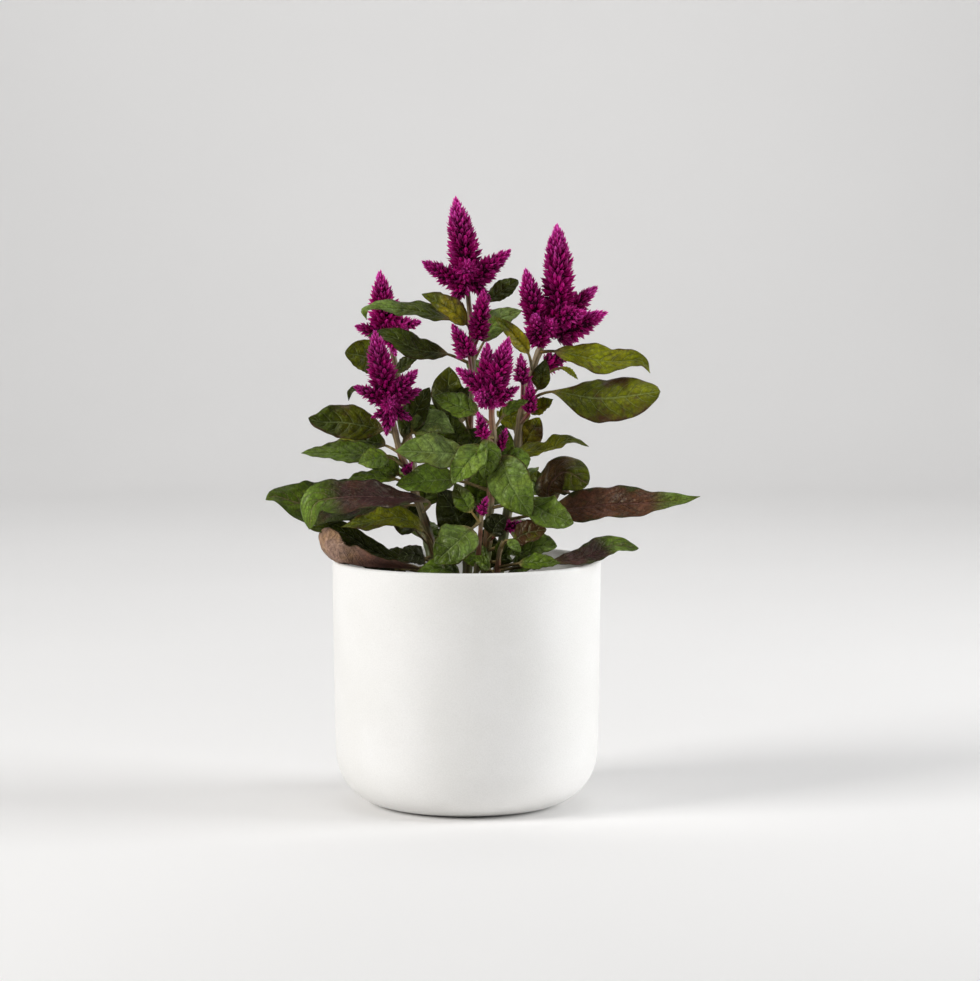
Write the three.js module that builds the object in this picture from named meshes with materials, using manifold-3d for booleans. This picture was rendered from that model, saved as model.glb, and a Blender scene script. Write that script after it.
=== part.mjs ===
// A cockscomb celosia with plume-shaped magenta heads, growing in a plain round white pot.
// Millimetres, +Z up. The origin is the centre of the pot's flat underside.
import * as THREE from "three";
import { mergeVertices } from "three/addons/utils/BufferGeometryUtils.js";
import Module from "manifold-3d";

const wasm = await Module();
wasm.setup();

// ---- driving dimensions ----
const POT_HEIGHT = 128.5;
const POT_BODY_RADIUS = 68.4; // just above the rounded foot
const POT_RIM_FLARE = 1.6; // how much wider the rim is than the body
const POT_FOOT_WIDTH = 29; // how far the rounding reaches in from the side
const POT_FOOT_HEIGHT = 28.3;
const POT_WALL = 3;
const POT_FLOOR = 5;
const POT_SIDES = 36;
const SOIL_LEVEL = 108.5; // mean height of the soil surface
const SOIL_GAP = 0.3; // clearance between soil and pot, and around each stem
const STEM_ROOT_HEIGHT = 88; // how deep the stems stand
const SEAT_GAP = 0.35; // clearance where a bloom or coloured leaf sits on its stem
const BLADE_THICKNESS = 0.7;
const STALK_WIDTH = 1.5;
const SHORTEST_EDGE = 0.2;

// ---- materials ----
const material = (name, color, roughness) =>
  Object.assign(new THREE.MeshStandardMaterial({ color, roughness, metalness: 0 }), { name });
const potMaterial = material("white_ceramic", 0xe9e6e2, 0.62);
const soilMaterial = material("potting_soil", 0x2a1f18, 1);
const leafMaterial = material("green_leaf", 0x55691f, 0.55);
const bronzeMaterial = material("bronze_leaf", 0x5c4338, 0.5);
const bloomMaterial = material("magenta_bloom", 0x8c0a5f, 0.8);

// ---- helpers ----
const vec = ([x, y, z]) => new THREE.Vector3(x, y, z);
const curveOf = (points) => new THREE.CatmullRomCurve3(points.map(vec), false, "centripetal");
const clamp01 = (x) => Math.min(1, Math.max(0, x));

// A closed geometry from a list of vertices and a list of triangles.
function geometryOf(vertices, triangles) {
  const geometry = new THREE.BufferGeometry();
  const numbers = vertices.flatMap((v) => [v.x, v.y, v.z]);
  geometry.setAttribute("position", new THREE.Float32BufferAttribute(numbers, 3));
  geometry.setIndex(triangles.flat());
  return geometry;
}

// A geometry as a solid that can be joined and cut.
function solidOf(geometry) {
  const bare = geometry.clone();
  bare.deleteAttribute("normal");
  bare.deleteAttribute("uv");
  const welded = mergeVertices(bare, 1e-4);
  return new wasm.Manifold(
    new wasm.Mesh({
      numProp: 3,
      vertProperties: new Float32Array(welded.attributes.position.array),
      triVerts: new Uint32Array(welded.index.array),
    }),
  );
}

// A solid back to a geometry. Its points are set on a fine grid, which closes up the slivers that
// joins leave; the first grid is taken on which every edge still lies between two triangles.
function meshGeometry(solid) {
  for (const step of [0.01, 0.013, 0.017, 0.022, 0.03]) {
    const { vertices, triangles } = snapped(solid.getMesh(), step);
    if (closed(triangles)) {
      return geometryOf(vertices, largestBody(tidied(vertices, triangles), vertices.length));
    }
  }
  throw new Error("no grid closes this solid");
}

function snapped(mesh, step) {
  const keys = new Map();
  const vertices = [];
  const renumbered = [];
  for (let i = 0; i < mesh.vertProperties.length; i += mesh.numProp) {
    const cell = [0, 1, 2].map((k) => Math.round(mesh.vertProperties[i + k] / step));
    const key = cell.join();
    if (!keys.has(key)) {
      keys.set(key, vertices.length);
      vertices.push(vec(cell).multiplyScalar(step));
    }
    renumbered.push(keys.get(key));
  }
  const triangles = [];
  for (let i = 0; i < mesh.triVerts.length; i += 3) {
    const [a, b, c] = [0, 1, 2].map((k) => renumbered[mesh.triVerts[i + k]]);
    if (a !== b && b !== c && c !== a) {
      triangles.push([a, b, c]);
    }
  }
  return { vertices, triangles };
}

function closed(triangles) {
  const edges = new Set();
  let repeated = false;
  for (const triangle of triangles) {
    triangle.forEach((from, k) => {
      const edge = `${from} ${triangle[(k + 1) % 3]}`;
      repeated ||= edges.has(edge);
      edges.add(edge);
    });
  }
  return !repeated && [...edges].every((edge) => edges.has(edge.split(" ").reverse().join(" ")));
}

// Clears slivers: the ends of an edge shorter than SHORTEST_EDGE are merged, and a triangle whose far
// corner all but lies on its longest side gives that side up for the other diagonal.
function tidied(vertices, triangles) {
  let live = triangles;
  for (let pass = 0, changed = true; changed && pass < 20; pass++) {
    changed = false;
    const fans = vertices.map(() => []);
    live.forEach((triangle, i) => triangle.forEach((v) => fans[v].push(i)));
    const ring = (v) => new Set(fans[v].flatMap((i) => live[i]).filter((w) => w !== v));
    const touched = new Set();
    live.forEach((triangle, i) => {
      if (triangle === null || live[i].some((v) => touched.has(v))) {
        return;
      }
      const gap = ([a, b]) => vertices[a].distanceTo(vertices[b]);
      const turns = [0, 1, 2].map((k) => [live[i][k], live[i][(k + 1) % 3], live[i][(k + 2) % 3]]);
      turns.sort((s, t) => gap(s) - gap(t));
      const [a, b] = turns[0];
      const [p, q, r] = turns[2];
      const shared = [...ring(a)].filter((v) => ring(b).has(v));
      const around = fans[b].filter((j) => !live[j].includes(a));
      const mergeable = shared.length === 2 && around.every((j) => keepsFacing(vertices, live[j], b, a));
      if (gap(turns[0]) < SHORTEST_EDGE && mergeable) {
        [a, b, ...ring(a), ...ring(b)].forEach((v) => touched.add(v));
        for (const j of fans[b]) {
          live[j] = live[j].includes(a) ? null : live[j].map((v) => (v === b ? a : v));
        }
        changed = true;
      } else if (heightOf(vertices, p, q, r) < 0.02) {
        const other = fans[p].find((j) => j !== i && live[j].includes(q));
        const s = live[other].find((v) => v !== p && v !== q);
        if (s !== r && !ring(r).has(s)) {
          live[i] = [p, s, r];
          live[other] = [s, q, r];
          [p, q, r, s].forEach((v) => touched.add(v));
          changed = true;
        }
      }
    });
    live = live.filter((triangle) => triangle !== null);
  }
  return live;
}

const normalOf = (vertices, [a, b, c]) =>
  vertices[b].clone().sub(vertices[a]).cross(vertices[c].clone().sub(vertices[a]));

// The distance of corner r from the side p-q.
const heightOf = (vertices, p, q, r) =>
  normalOf(vertices, [p, q, r]).length() / vertices[p].distanceTo(vertices[q]);

function keepsFacing(vertices, triangle, from, to) {
  const before = normalOf(vertices, triangle);
  const after = normalOf(vertices, triangle.map((v) => (v === from ? to : v)));
  return after.length() > 1e-3 && (before.length() < 1e-2 || before.angleTo(after) < 0.7);
}

// The triangles of the largest connected body; loose scraps and sealed hollows are dropped.
function largestBody(triangles, count) {
  const parent = Array.from({ length: count }, (_, i) => i);
  const find = (i) => {
    while (parent[i] !== i) {
      parent[i] = parent[parent[i]];
      i = parent[i];
    }
    return i;
  };
  for (const [a, b, c] of triangles) {
    parent[find(a)] = find(b);
    parent[find(b)] = find(c);
  }
  const size = new Map();
  for (const [a] of triangles) {
    size.set(find(a), (size.get(find(a)) ?? 0) + 1);
  }
  const best = [...size].sort((p, q) => q[1] - p[1])[0][0];
  return triangles.filter(([a]) => find(a) === best);
}

const joined = (solids) => solids.reduce((sum, solid) => sum.add(solid));

// ---- pot: a turned profile ----
function potProfile() {
  const outer = [];
  for (let i = 0; i <= 5; i++) {
    const angle = (i / 5) * (Math.PI / 2);
    outer.push([
      POT_BODY_RADIUS - POT_FOOT_WIDTH * (1 - Math.sin(angle)),
      POT_FOOT_HEIGHT * (1 - Math.cos(angle)),
    ]);
  }
  for (const share of [0.2, 0.55, 1]) {
    const z = POT_FOOT_HEIGHT + share * (POT_HEIGHT - 0.8 - POT_FOOT_HEIGHT);
    outer.push([POT_BODY_RADIUS + POT_RIM_FLARE * share ** 0.6, z]);
  }
  return outer;
}

function insideProfile(gap) {
  return [
    [0, POT_FLOOR + gap],
    [36 - gap, POT_FLOOR + gap],
    [57 - gap, 13 + gap],
    [POT_BODY_RADIUS - POT_WALL - gap, 30 + gap],
  ];
}

function potGeometry() {
  const rim = POT_BODY_RADIUS + POT_RIM_FLARE;
  const profile = [
    [0, 0],
    ...potProfile(),
    [rim - 0.6, POT_HEIGHT],
    [rim - POT_WALL + 0.8, POT_HEIGHT],
    [rim - POT_WALL, POT_HEIGHT - 1],
    ...insideProfile(0).reverse(),
  ];
  return turned(profile);
}

function turned(profile) {
  const points = profile.map(([r, z]) => new THREE.Vector2(r, z));
  const geometry = new THREE.LatheGeometry(points, POT_SIDES);
  geometry.rotateX(Math.PI / 2);
  return geometry;
}

// ---- soil: fills the pot, with a lumpy top and a plain hole for each stem ----
const soilHeight = (x, y) =>
  SOIL_LEVEL +
  1.6 * Math.sin(x * 0.19 + 1.3) * Math.cos(y * 0.17 - 0.4) +
  1.1 * Math.sin(x * 0.41 - y * 0.33);

function soilGeometry(stemRoots) {
  const rim = POT_BODY_RADIUS - POT_WALL - SOIL_GAP;
  const rings = [18, 36, 52, rim];
  const sides = POT_SIDES / 2;
  const vertices = [new THREE.Vector3(0, 0, soilHeight(0, 0))];
  const triangles = [];
  for (const radius of rings) {
    for (let i = 0; i < sides; i++) {
      const angle = (i / sides) * 2 * Math.PI;
      const [x, y] = [radius * Math.cos(angle), radius * Math.sin(angle)];
      vertices.push(new THREE.Vector3(x, y, soilHeight(x, y)));
    }
  }
  const bottom = insideProfile(SOIL_GAP).reverse().slice(0, -1);
  for (const [radius, z] of bottom) {
    for (let i = 0; i < sides; i++) {
      const angle = (i / sides) * 2 * Math.PI;
      vertices.push(new THREE.Vector3(radius * Math.cos(angle), radius * Math.sin(angle), z));
    }
  }
  vertices.push(new THREE.Vector3(0, 0, POT_FLOOR + SOIL_GAP));
  const ringCount = rings.length + bottom.length;
  for (let i = 0; i < sides; i++) {
    const next = (i + 1) % sides;
    triangles.push([0, 1 + i, 1 + next]);
    for (let k = 1; k < ringCount; k++) {
      const [inner, outer] = [1 + (k - 1) * sides, 1 + k * sides];
      triangles.push([inner + i, outer + i, outer + next], [inner + i, outer + next, inner + next]);
    }
    const last = 1 + (ringCount - 1) * sides;
    triangles.push([last + i, vertices.length - 1, last + next]);
  }
  let soil = solidOf(geometryOf(vertices, triangles));
  for (const { x, y, radius } of stemRoots) {
    const hole = tube([[x, y, STEM_ROOT_HEIGHT], [x, y, POT_HEIGHT]], [radius, radius], 6, 1, SOIL_GAP);
    soil = soil.subtract(hole);
  }
  return meshGeometry(soil);
}

// ---- stems and stalks: a round tube along a curve, with closed ends ----
function tube(points, radii, sides, steps, grow = 0) {
  const curve = curveOf(points);
  const vertices = [];
  const triangles = [];
  let side = new THREE.Vector3(1, 0, 0);
  for (let k = 0; k <= steps; k++) {
    const t = k / steps;
    const centre = curve.getPointAt(t);
    const along = curve.getTangentAt(t);
    side = side.clone().addScaledVector(along, -side.dot(along)).normalize();
    if (k === 0 && Math.abs(along.x) > 0.9) {
      side = new THREE.Vector3(0, 0, 1).addScaledVector(along, -along.z).normalize();
    }
    const other = along.clone().cross(side);
    const radius = THREE.MathUtils.lerp(radii[0], radii[1], t) + grow;
    const reach = k === 0 ? -grow : k === steps ? grow : 0;
    for (let i = 0; i < sides; i++) {
      const angle = (i / sides) * 2 * Math.PI;
      vertices.push(
        centre
          .clone()
          .addScaledVector(along, reach)
          .addScaledVector(side, radius * Math.cos(angle))
          .addScaledVector(other, radius * Math.sin(angle)),
      );
    }
  }
  for (let k = 0; k < steps; k++) {
    for (let i = 0; i < sides; i++) {
      const next = (i + 1) % sides;
      const [a, b] = [k * sides + i, k * sides + next];
      const [c, d] = [b + sides, a + sides];
      triangles.push([a, b, c], [a, c, d]);
    }
  }
  for (let i = 1; i < sides - 1; i++) {
    const end = steps * sides;
    triangles.push([0, i + 1, i], [end, end + i, end + i + 1]);
  }
  return solidOf(geometryOf(vertices, triangles));
}

// ---- leaf blade: a waved, cupped sheet along its rib ----
// Half width at t along the blade: rises over a wedge-shaped base, falls to a drawn-out tip.
function halfWidth(leaf, t) {
  const { width, widest = 0.4, taper = 0.75, shoulder = 0.66 } = leaf;
  const rise = Math.sin((Math.PI / 2) * clamp01(t / widest)) ** shoulder;
  const fall = Math.sin((Math.PI / 2) * clamp01((1 - t) / (1 - widest))) ** (1.3 * taper);
  return Math.max(0.55, (width / 2) * (t < widest ? rise : fall));
}

// A point of the sheet: u runs across from -1 to 1, t along from 0 to 1.
function sheetPoint(leaf, curve, u, t) {
  const { width, face, tipFace = face, cup = 0.2, wave = 0.1, waves = 2.5, phase = 0 } = leaf;
  const along = curve.getTangentAt(t);
  const up = vec(face).lerp(vec(tipFace), t);
  const side = along.clone().cross(up).normalize();
  const normal = side.clone().cross(along).normalize();
  const half = halfWidth(leaf, t);
  const edge = Math.abs(u);
  const swing = Math.sin(2 * Math.PI * waves * t + phase + (u > 0 ? 1.9 : 0));
  const fold = cup * half * Math.min(1, half / 4) * edge ** 1.6;
  const lift = fold + wave * width * 0.5 * edge ** 2 * swing * Math.sin(Math.PI * t) ** 0.5;
  const reach = u * half * (1 - 0.25 * cup * cup);
  return curve.getPointAt(t).addScaledVector(side, reach).addScaledVector(normal, lift);
}

function sheetNormal(leaf, curve, u, t) {
  const d = 0.01;
  const right = sheetPoint(leaf, curve, Math.min(1, u + d), t);
  const across = right.sub(sheetPoint(leaf, curve, Math.max(-1, u - d), t));
  const t0 = Math.max(0, t - d);
  const t1 = Math.min(1, t + d);
  const along = sheetPoint(leaf, curve, u * 0.98, t1).sub(sheetPoint(leaf, curve, u * 0.98, t0));
  return across.cross(along).normalize();
}

// The whole leaf as one closed sheet: a stalk station in the middle of the stem, then the blade's rows.
// Both faces are split into triangles alike.
function leafSolid(leaf, stem) {
  const curve = curveOf(leaf.rib);
  const [columns, rows] = leaf.wide ? [4, 5] : [2, leaf.width > 10 ? 5 : leaf.width > 8 ? 4 : 3];
  const count = columns + 1;
  const top = [];
  const under = [];
  const addRow = (points, normals, thickness) => {
    points.forEach((point, i) => {
      top.push(point.clone().addScaledVector(normals[i], thickness / 2));
      under.push(point.clone().addScaledVector(normals[i], -thickness / 2));
    });
  };
  const steps = Array.from({ length: count }, (_, i) => (2 * i) / columns - 1);
  const attach = stemPointAt(stem, leaf.at);
  const along = vec(leaf.rib[0]).sub(attach).normalize();
  const side = sheetPoint(leaf, curve, 1, 0).sub(sheetPoint(leaf, curve, -1, 0));
  side.addScaledVector(along, -side.dot(along)).normalize();
  const upward = side.clone().cross(along);
  const foot = steps.map((u) => attach.clone().addScaledVector(side, u * STALK_WIDTH * 0.5));
  addRow(foot, steps.map(() => upward), 1.2);
  for (let row = 0; row <= rows; row++) {
    const t = row / rows;
    const points = steps.map((u) => sheetPoint(leaf, curve, u, t));
    const normals = steps.map((u) => sheetNormal(leaf, curve, u, t));
    addRow(points, normals, row === 0 ? 1.1 : BLADE_THICKNESS);
  }
  const offset = top.length;
  const triangles = [];
  const quad = (a, b, c, d) => triangles.push([a, b, c], [a, c, d]);
  for (let row = 0; row <= rows; row++) {
    for (let column = 0; column < columns; column++) {
      const [a, b] = [row * count + column, row * count + column + 1];
      const [c, d] = [b + count, a + count];
      quad(a, b, c, d);
      triangles.push([a + offset, c + offset, b + offset], [a + offset, d + offset, c + offset]);
    }
    const left = row * count;
    const right = left + columns;
    quad(left + offset, left, left + count, left + count + offset);
    quad(right, right + offset, right + count + offset, right + count);
  }
  for (let column = 0; column < columns; column++) {
    const last = (rows + 1) * count + column;
    quad(column + offset, column + 1 + offset, column + 1, column);
    quad(last, last + 1, last + 1 + offset, last + offset);
  }
  return solidOf(geometryOf([...top, ...under], triangles));
}

function stemPointAt(stem, z) {
  const curve = curveOf(stem.path);
  for (let t = 0; t <= 1; t += 0.005) {
    const point = curve.getPointAt(t);
    if (point.z >= z) {
      return point;
    }
  }
  return curve.getPointAt(1);
}

// The stem's tube, with a straight root down into the soil.
function stemTube(stem, grow = 0) {
  const [x, y] = stem.path[0];
  const rootPath = [[x, y, STEM_ROOT_HEIGHT], [x, y, stem.path[0][2] + 0.5]];
  const root = tube(rootPath, [stem.radius[0], stem.radius[0]], 6, 1, grow);
  return tube(stem.path, stem.radius, 6, stem.steps ?? 6, grow).add(root);
}

// ---- bloom spike: rings of diamond-shaped florets, each a small pyramid pointing out and forward ----
function spike({ root, tip, radius, around, rings }) {
  const start = vec(root);
  const axis = vec(tip).sub(start);
  const length = axis.length();
  axis.normalize();
  const side = new THREE.Vector3(0.3, 0.9, 0.2).cross(axis).normalize();
  const other = axis.clone().cross(side);
  const sides = around ?? Math.max(4, Math.round(radius * 0.85));
  const count = rings ?? Math.max(3, Math.round(length / (radius * 0.58 + 1.5)));
  const height = 1.3 + 0.17 * radius;
  const belly = (s) => 0.86 + 0.14 * Math.sin(Math.PI * Math.min(1, s / 0.6));
  const narrowing = (s) => Math.sin((Math.PI / 2) * Math.min(1, (1 - s) / 0.5)) ** 0.75;
  const girth = (s) => radius * belly(s) * narrowing(s);
  const at = (s, angle, out) =>
    start
      .clone()
      .addScaledVector(axis, s * length)
      .addScaledVector(side, out * Math.cos(angle))
      .addScaledVector(other, out * Math.sin(angle));
  const turn = (2 * Math.PI) / sides;
  const vertices = [];
  const lattice = [];
  for (let k = 0; k <= count; k++) {
    lattice.push([]);
    for (let i = 0; i < sides; i++) {
      const s = (0.96 * k) / count;
      lattice[k].push(vertices.length);
      vertices.push(at(s, (i + 0.5 * (k % 2)) * turn, Math.max(0.5, girth(s) - height * 0.75)));
    }
  }
  const triangles = [];
  for (let k = 1; k < count; k++) {
    for (let i = 0; i < sides; i++) {
      const shift = k % 2;
      const next = (i + 1) % sides;
      const below = lattice[k - 1][(i + shift) % sides];
      const above = lattice[k + 1][(i + shift) % sides];
      const [left, right] = [lattice[k][i], lattice[k][next]];
      const s = (0.96 * (k + 0.45)) / count;
      const point = vertices.length;
      vertices.push(at(s, (i + 0.5 * shift + 0.5) * turn, Math.max(0.9, girth(s) + height * 0.25)));
      triangles.push([below, right, point], [right, above, point]);
      triangles.push([above, left, point], [left, below, point]);
    }
  }
  const foot = vertices.push(at(0, 0, 0)) - 1;
  const crown = vertices.push(at(1, 0, 0)) - 1;
  const last = count % 2;
  for (let i = 0; i < sides; i++) {
    const next = (i + 1) % sides;
    triangles.push([foot, lattice[0][next], lattice[0][i]]);
    triangles.push([lattice[0][i], lattice[0][next], lattice[1][i]]);
    triangles.push([crown, lattice[count][i], lattice[count][next]]);
    triangles.push([lattice[count][next], lattice[count][i], lattice[count - 1][last ? next : i]]);
  }
  return solidOf(geometryOf(vertices, triangles));
}

// ---- the plant ----
// Each stem's path, root and tip radius, and leaves. A leaf has its height on the stem, its rib from
// the stalk's end to the tip, its width and the way its upper face looks.
const STEMS = {
  a: {
    path: [
      [0, 9, 112], [1, 10, 137], [1, 12, 174], [2, 12, 211], [3, 12, 237], [1, 12, 263], [-1, 12, 283],
    ],
    radius: [2.7, 1.1],
    leaves: [
      { at: 244, width: 13.5, face: [-0.25, -0.8, 0.55], cup: 0.35, taper: 0.6,
        rib: [[0, 3, 251], [-9, -4, 259], [-23, -12, 267]] },
      { at: 250, width: 16, face: [0, -0.5, 0.87],
        rib: [[-8, 14, 253], [-32, 12, 258], [-49, 8, 259], [-53, 6, 258], [-52, 5, 253]] },
      { at: 229, width: 16, face: [0, -0.7, 0.7],
        rib: [[-10, 8, 235], [-27, 2, 238], [-40, 0, 245], [-52, -2, 245]] },
      { at: 254, width: 11, face: [0.3, -0.6, 0.7], taper: 0.45, widest: 0.55,
        rib: [[11, 18, 262], [19, 22, 268], [27, 24, 273]] },
      { at: 229, width: 15, face: [0.1, -0.8, 0.6], taper: 0.7,
        rib: [[9, 20, 241], [15, 28, 251], [29, 32, 257]] },
      { at: 194, width: 20, face: [-0.1, -0.95, 0.3], taper: 0.6, widest: 0.35, wave: 0.2,
        rib: [[-2, 4, 206], [-9, 0, 215], [-9, -2, 229]] },
      { at: 184, width: 10, face: [-0.3, -0.9, 0.3], cup: 0.4,
        rib: [[-15, -4, 202], [-26, -8, 209], [-30, -8, 218]] },
      { at: 135, width: 22, face: [-0.2, -0.9, 0.4], taper: 0.7,
        rib: [[-1, -8, 143], [-6, -14, 154], [-14, -16, 167]] },
      { at: 174, width: 20, face: [-0.2, -0.85, 0.5], taper: 0.55,
        rib: [[-8, 6, 185], [-18, 2, 196], [-25, 0, 211]] },
      { at: 169, width: 18, face: [0.2, -0.85, 0.5], taper: 0.55,
        rib: [[9, 4, 176], [16, 0, 186], [19, -4, 199]] },
      { at: 152, width: 18, face: [0.2, -0.8, 0.6], taper: 0.55,
        rib: [[10, 2, 159], [15, -4, 166], [24, -8, 164]] },
      { at: 126, width: 15, face: [-0.2, -0.8, 0.6], taper: 0.6,
        rib: [[-8, 2, 132], [-13, 0, 138], [-19, -2, 143]] },
      { at: 174, width: 16, face: [-0.2, -0.85, 0.5], taper: 0.55,
        rib: [[-3, 4, 190], [-11, 4, 197], [-21, 4, 209]] },
      { at: 219, width: 16, face: [0, -0.3, 0.95],
        rib: [[4, 28, 224], [9, 44, 229], [10, 58, 226]] },
      { at: 192, width: 20, face: [0, -0.3, 0.95],
        rib: [[-3, 28, 198], [-9, 44, 207], [-15, 60, 203]] },
      { at: 163, width: 22, face: [0, -0.3, 0.95],
        rib: [[2, 30, 169], [4, 48, 178], [6, 66, 174]] },
      { at: 137, width: 24, face: [0, -0.3, 0.95],
        rib: [[1, 28, 143], [-1, 48, 151], [-2, 70, 146]] },
      { at: 158, width: 15, face: [0, -0.95, 0.2],
        rib: [[4, 0, 158], [6, -6, 166], [6, -10, 176]] },
      { at: 117, width: 14, face: [0.1, -0.9, 0.3], taper: 0.6,
        rib: [[8, -6, 125], [11, -12, 134], [9, -16, 146]] },
      { at: 178, width: 16, face: [0.1, -0.9, 0.3], taper: 0.6,
        rib: [[1, 0, 186], [5, -4, 191], [9, -6, 198]] },
      { at: 185, width: 14, face: [-0.1, -0.9, 0.3], taper: 0.6,
        rib: [[-4, 0, 187], [-5, -4, 194], [-7, -8, 202]] },
    ],
  },
  b: {
    path: [
      [16, 15, 112], [19, 14, 137], [25, 10, 174], [29, 8, 206], [35, 6, 229], [41, 5, 245], [45, 5, 261],
    ],
    radius: [2.9, 1.5],
    leaves: [
      { at: 226, width: 9, face: [-0.3, -0.85, 0.4], cup: 0.5, taper: 0.7,
        rib: [[32, -6, 236], [24, -14, 247], [14, -18, 256]] },
      { at: 236, width: 18, face: [0.1, -0.75, 0.65], taper: 0.8, wide: true,
        rib: [[46, -2, 237], [72, -8, 232], [91, -10, 232], [95, -10, 226]] },
      { at: 209, width: 26, face: [0.05, -0.85, 0.5], cup: -0.15,
        taper: 0.4, widest: 0.5, shoulder: 1.3, wide: true,
        rib: [[43, -4, 216], [69, -12, 213], [100, -16, 217]] },
      { at: 181, width: 16, face: [0, -0.4, 0.9],
        rib: [[24, -12, 185], [41, -18, 187], [53, -20, 192], [63, -22, 189]] },
      { at: 219, width: 4, face: [0, -0.7, 0.7],
        rib: [[49, 4, 228], [54, 4, 226], [58, 4, 222]] },
      { at: 201, width: 11, face: [0, -0.75, 0.65],
        rib: [[33, 4, 205], [39, 2, 208], [45, 0, 212]] },
      { at: 189, width: 13, face: [0, -0.95, 0.3],
        rib: [[25, 16, 195], [23, 18, 203], [24, 20, 211]] },
      { at: 123, width: 19, face: [0.1, -0.7, 0.7], taper: 0.55,
        rib: [[25, 2, 128], [36, -4, 135], [47, -8, 136]] },
      { at: 180, width: 14, face: [0.2, -0.85, 0.5], taper: 0.55,
        rib: [[29, 10, 187], [33, 8, 193], [38, 6, 202]] },
      { at: 112, width: 15, face: [0, -0.75, 0.65], taper: 0.55,
        rib: [[22, -2, 121], [29, -10, 126], [39, -16, 129]] },
      { at: 187, width: 18, face: [0, -0.3, 0.95],
        rib: [[26, 26, 194], [24, 42, 201], [22, 56, 197]] },
      { at: 158, width: 22, face: [0, -0.3, 0.95],
        rib: [[25, 28, 164], [28, 46, 171], [30, 62, 167]] },
      { at: 131, width: 20, face: [0, -0.3, 0.95],
        rib: [[26, 30, 136], [32, 46, 142], [38, 62, 139]] },
      { at: 215, width: 10, face: [0, -0.95, 0.2],
        rib: [[37, 2, 217], [39, 0, 225], [41, -2, 233]] },
      { at: 158, width: 13, face: [0.2, -0.9, 0.3], taper: 0.6,
        rib: [[32, 6, 163], [36, 9, 167], [37, 9, 174]] },
    ],
  },
  c: {
    path: [
      [-15, 25, 112], [-21, 30, 135], [-28, 34, 172], [-34, 36, 209], [-40, 36, 238], [-43, 36, 256],
    ],
    radius: [2.6, 1.3],
    leaves: [
      { at: 223, width: 19, face: [-0.1, -0.9, 0.4], taper: 0.5, wave: 0.06, wide: true,
        rib: [[-45, 28, 229], [-54, 24, 233], [-64, 20, 235]] },
      { at: 216, width: 8, face: [0.1, -0.8, 0.6], taper: 0.7,
        rib: [[-37, 30, 224], [-32, 28, 229], [-25, 26, 234]] },
      { at: 207, width: 6, face: [0, -0.6, 0.8],
        rib: [[-47, 26, 213], [-57, 20, 216], [-61, 18, 215], [-62, 17, 210]] },
      { at: 120, width: 11, face: [0, -0.7, 0.7],
        rib: [[-28, 4, 128], [-37, 0, 130], [-47, -2, 129]] },
      { at: 122, width: 15, face: [0.4, -0.8, 0.5], taper: 0.5, widest: 0.55, wave: 0.03,
        rib: [[-36, -5, 124], [-51, -8, 130], [-65, -10, 144]] },
      { at: 182, width: 18, face: [0.2, -0.85, 0.5], taper: 0.55,
        rib: [[-22, 28, 190], [-15, 24, 199], [-11, 20, 212]] },
      { at: 188, width: 18, face: [0, -0.3, 0.95],
        rib: [[-29, 50, 195], [-27, 64, 202], [-26, 78, 198]] },
      { at: 156, width: 20, face: [0, -0.3, 0.95],
        rib: [[-26, 48, 163], [-31, 64, 169], [-33, 80, 164]] },
      { at: 127, width: 18, face: [0, -0.3, 0.95],
        rib: [[-22, 46, 134], [-25, 58, 140], [-29, 70, 137]] },
      { at: 133, width: 18, face: [0, -0.9, 0.4], taper: 0.6,
        rib: [[-27, 10, 143], [-32, 4, 151], [-35, 0, 158]] },
      { at: 117, width: 13, face: [0, -0.7, 0.7], taper: 0.6,
        rib: [[-32, 4, 123], [-39, -2, 126], [-49, -6, 124]] },
    ],
  },
  d: {
    path: [
      [-12, -9, 112], [-20, -14, 145], [-29, -20, 172], [-35, -24, 190], [-38, -26, 204], [-41, -27, 217],
    ],
    radius: [2.5, 1.4],
    leaves: [
      { at: 196, width: 21, face: [-0.1, -0.85, 0.5], taper: 0.55, widest: 0.5, wide: true,
        rib: [[-43, -16, 197], [-62, -20, 201], [-76, -24, 202], [-81, -25, 204]] },
      { at: 185, width: 14, face: [0, -0.8, 0.6], taper: 0.6,
        rib: [[-42, -14, 189], [-53, -10, 191], [-67, -8, 191]] },
      { at: 180, width: 18, face: [0, -0.55, 0.83],
        rib: [[-42, -28, 185], [-62, -34, 186], [-76, -38, 187], [-84, -40, 187]] },
      { at: 177, width: 14, face: [-0.4, -0.8, 0.4],
        rib: [[-40, -38, 185], [-47, -42, 184], [-55, -44, 182]] },
      { at: 170, width: 12, face: [0, -0.85, 0.5], taper: 0.6,
        rib: [[-35, -26, 175], [-41, -30, 180], [-49, -32, 179]] },
      { at: 165, width: 13, face: [0, -0.5, 0.87],
        rib: [[-36, -32, 173], [-50, -30, 173], [-66, -31, 169]] },
      { at: 188, width: 16, face: [0.1, -0.8, 0.6], taper: 0.7,
        rib: [[-28, -22, 196], [-18, -20, 201], [-6, -20, 196]] },
      { at: 131, width: 17, face: [0, -0.6, 0.8],
        rib: [[-22, -28, 146], [-34, -32, 153], [-50, -36, 151], [-64, -38, 149]] },
      { at: 124, width: 11, face: [0, -0.85, 0.5], taper: 0.5,
        rib: [[-21, -34, 132], [-28, -40, 135], [-35, -42, 133]] },
      { at: 183, width: 15, face: [-0.2, -0.9, 0.35], taper: 0.55,
        rib: [[-32, -20, 193], [-28, -18, 203], [-19, -14, 219]] },
      { at: 150, width: 16, face: [-0.2, -0.9, 0.3],
        rib: [[-22, -10, 156], [-21, -8, 163], [-18, -8, 171]] },
      { at: 131, width: 12, face: [0, -0.75, 0.66], taper: 0.5, widest: 0.6,
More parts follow.
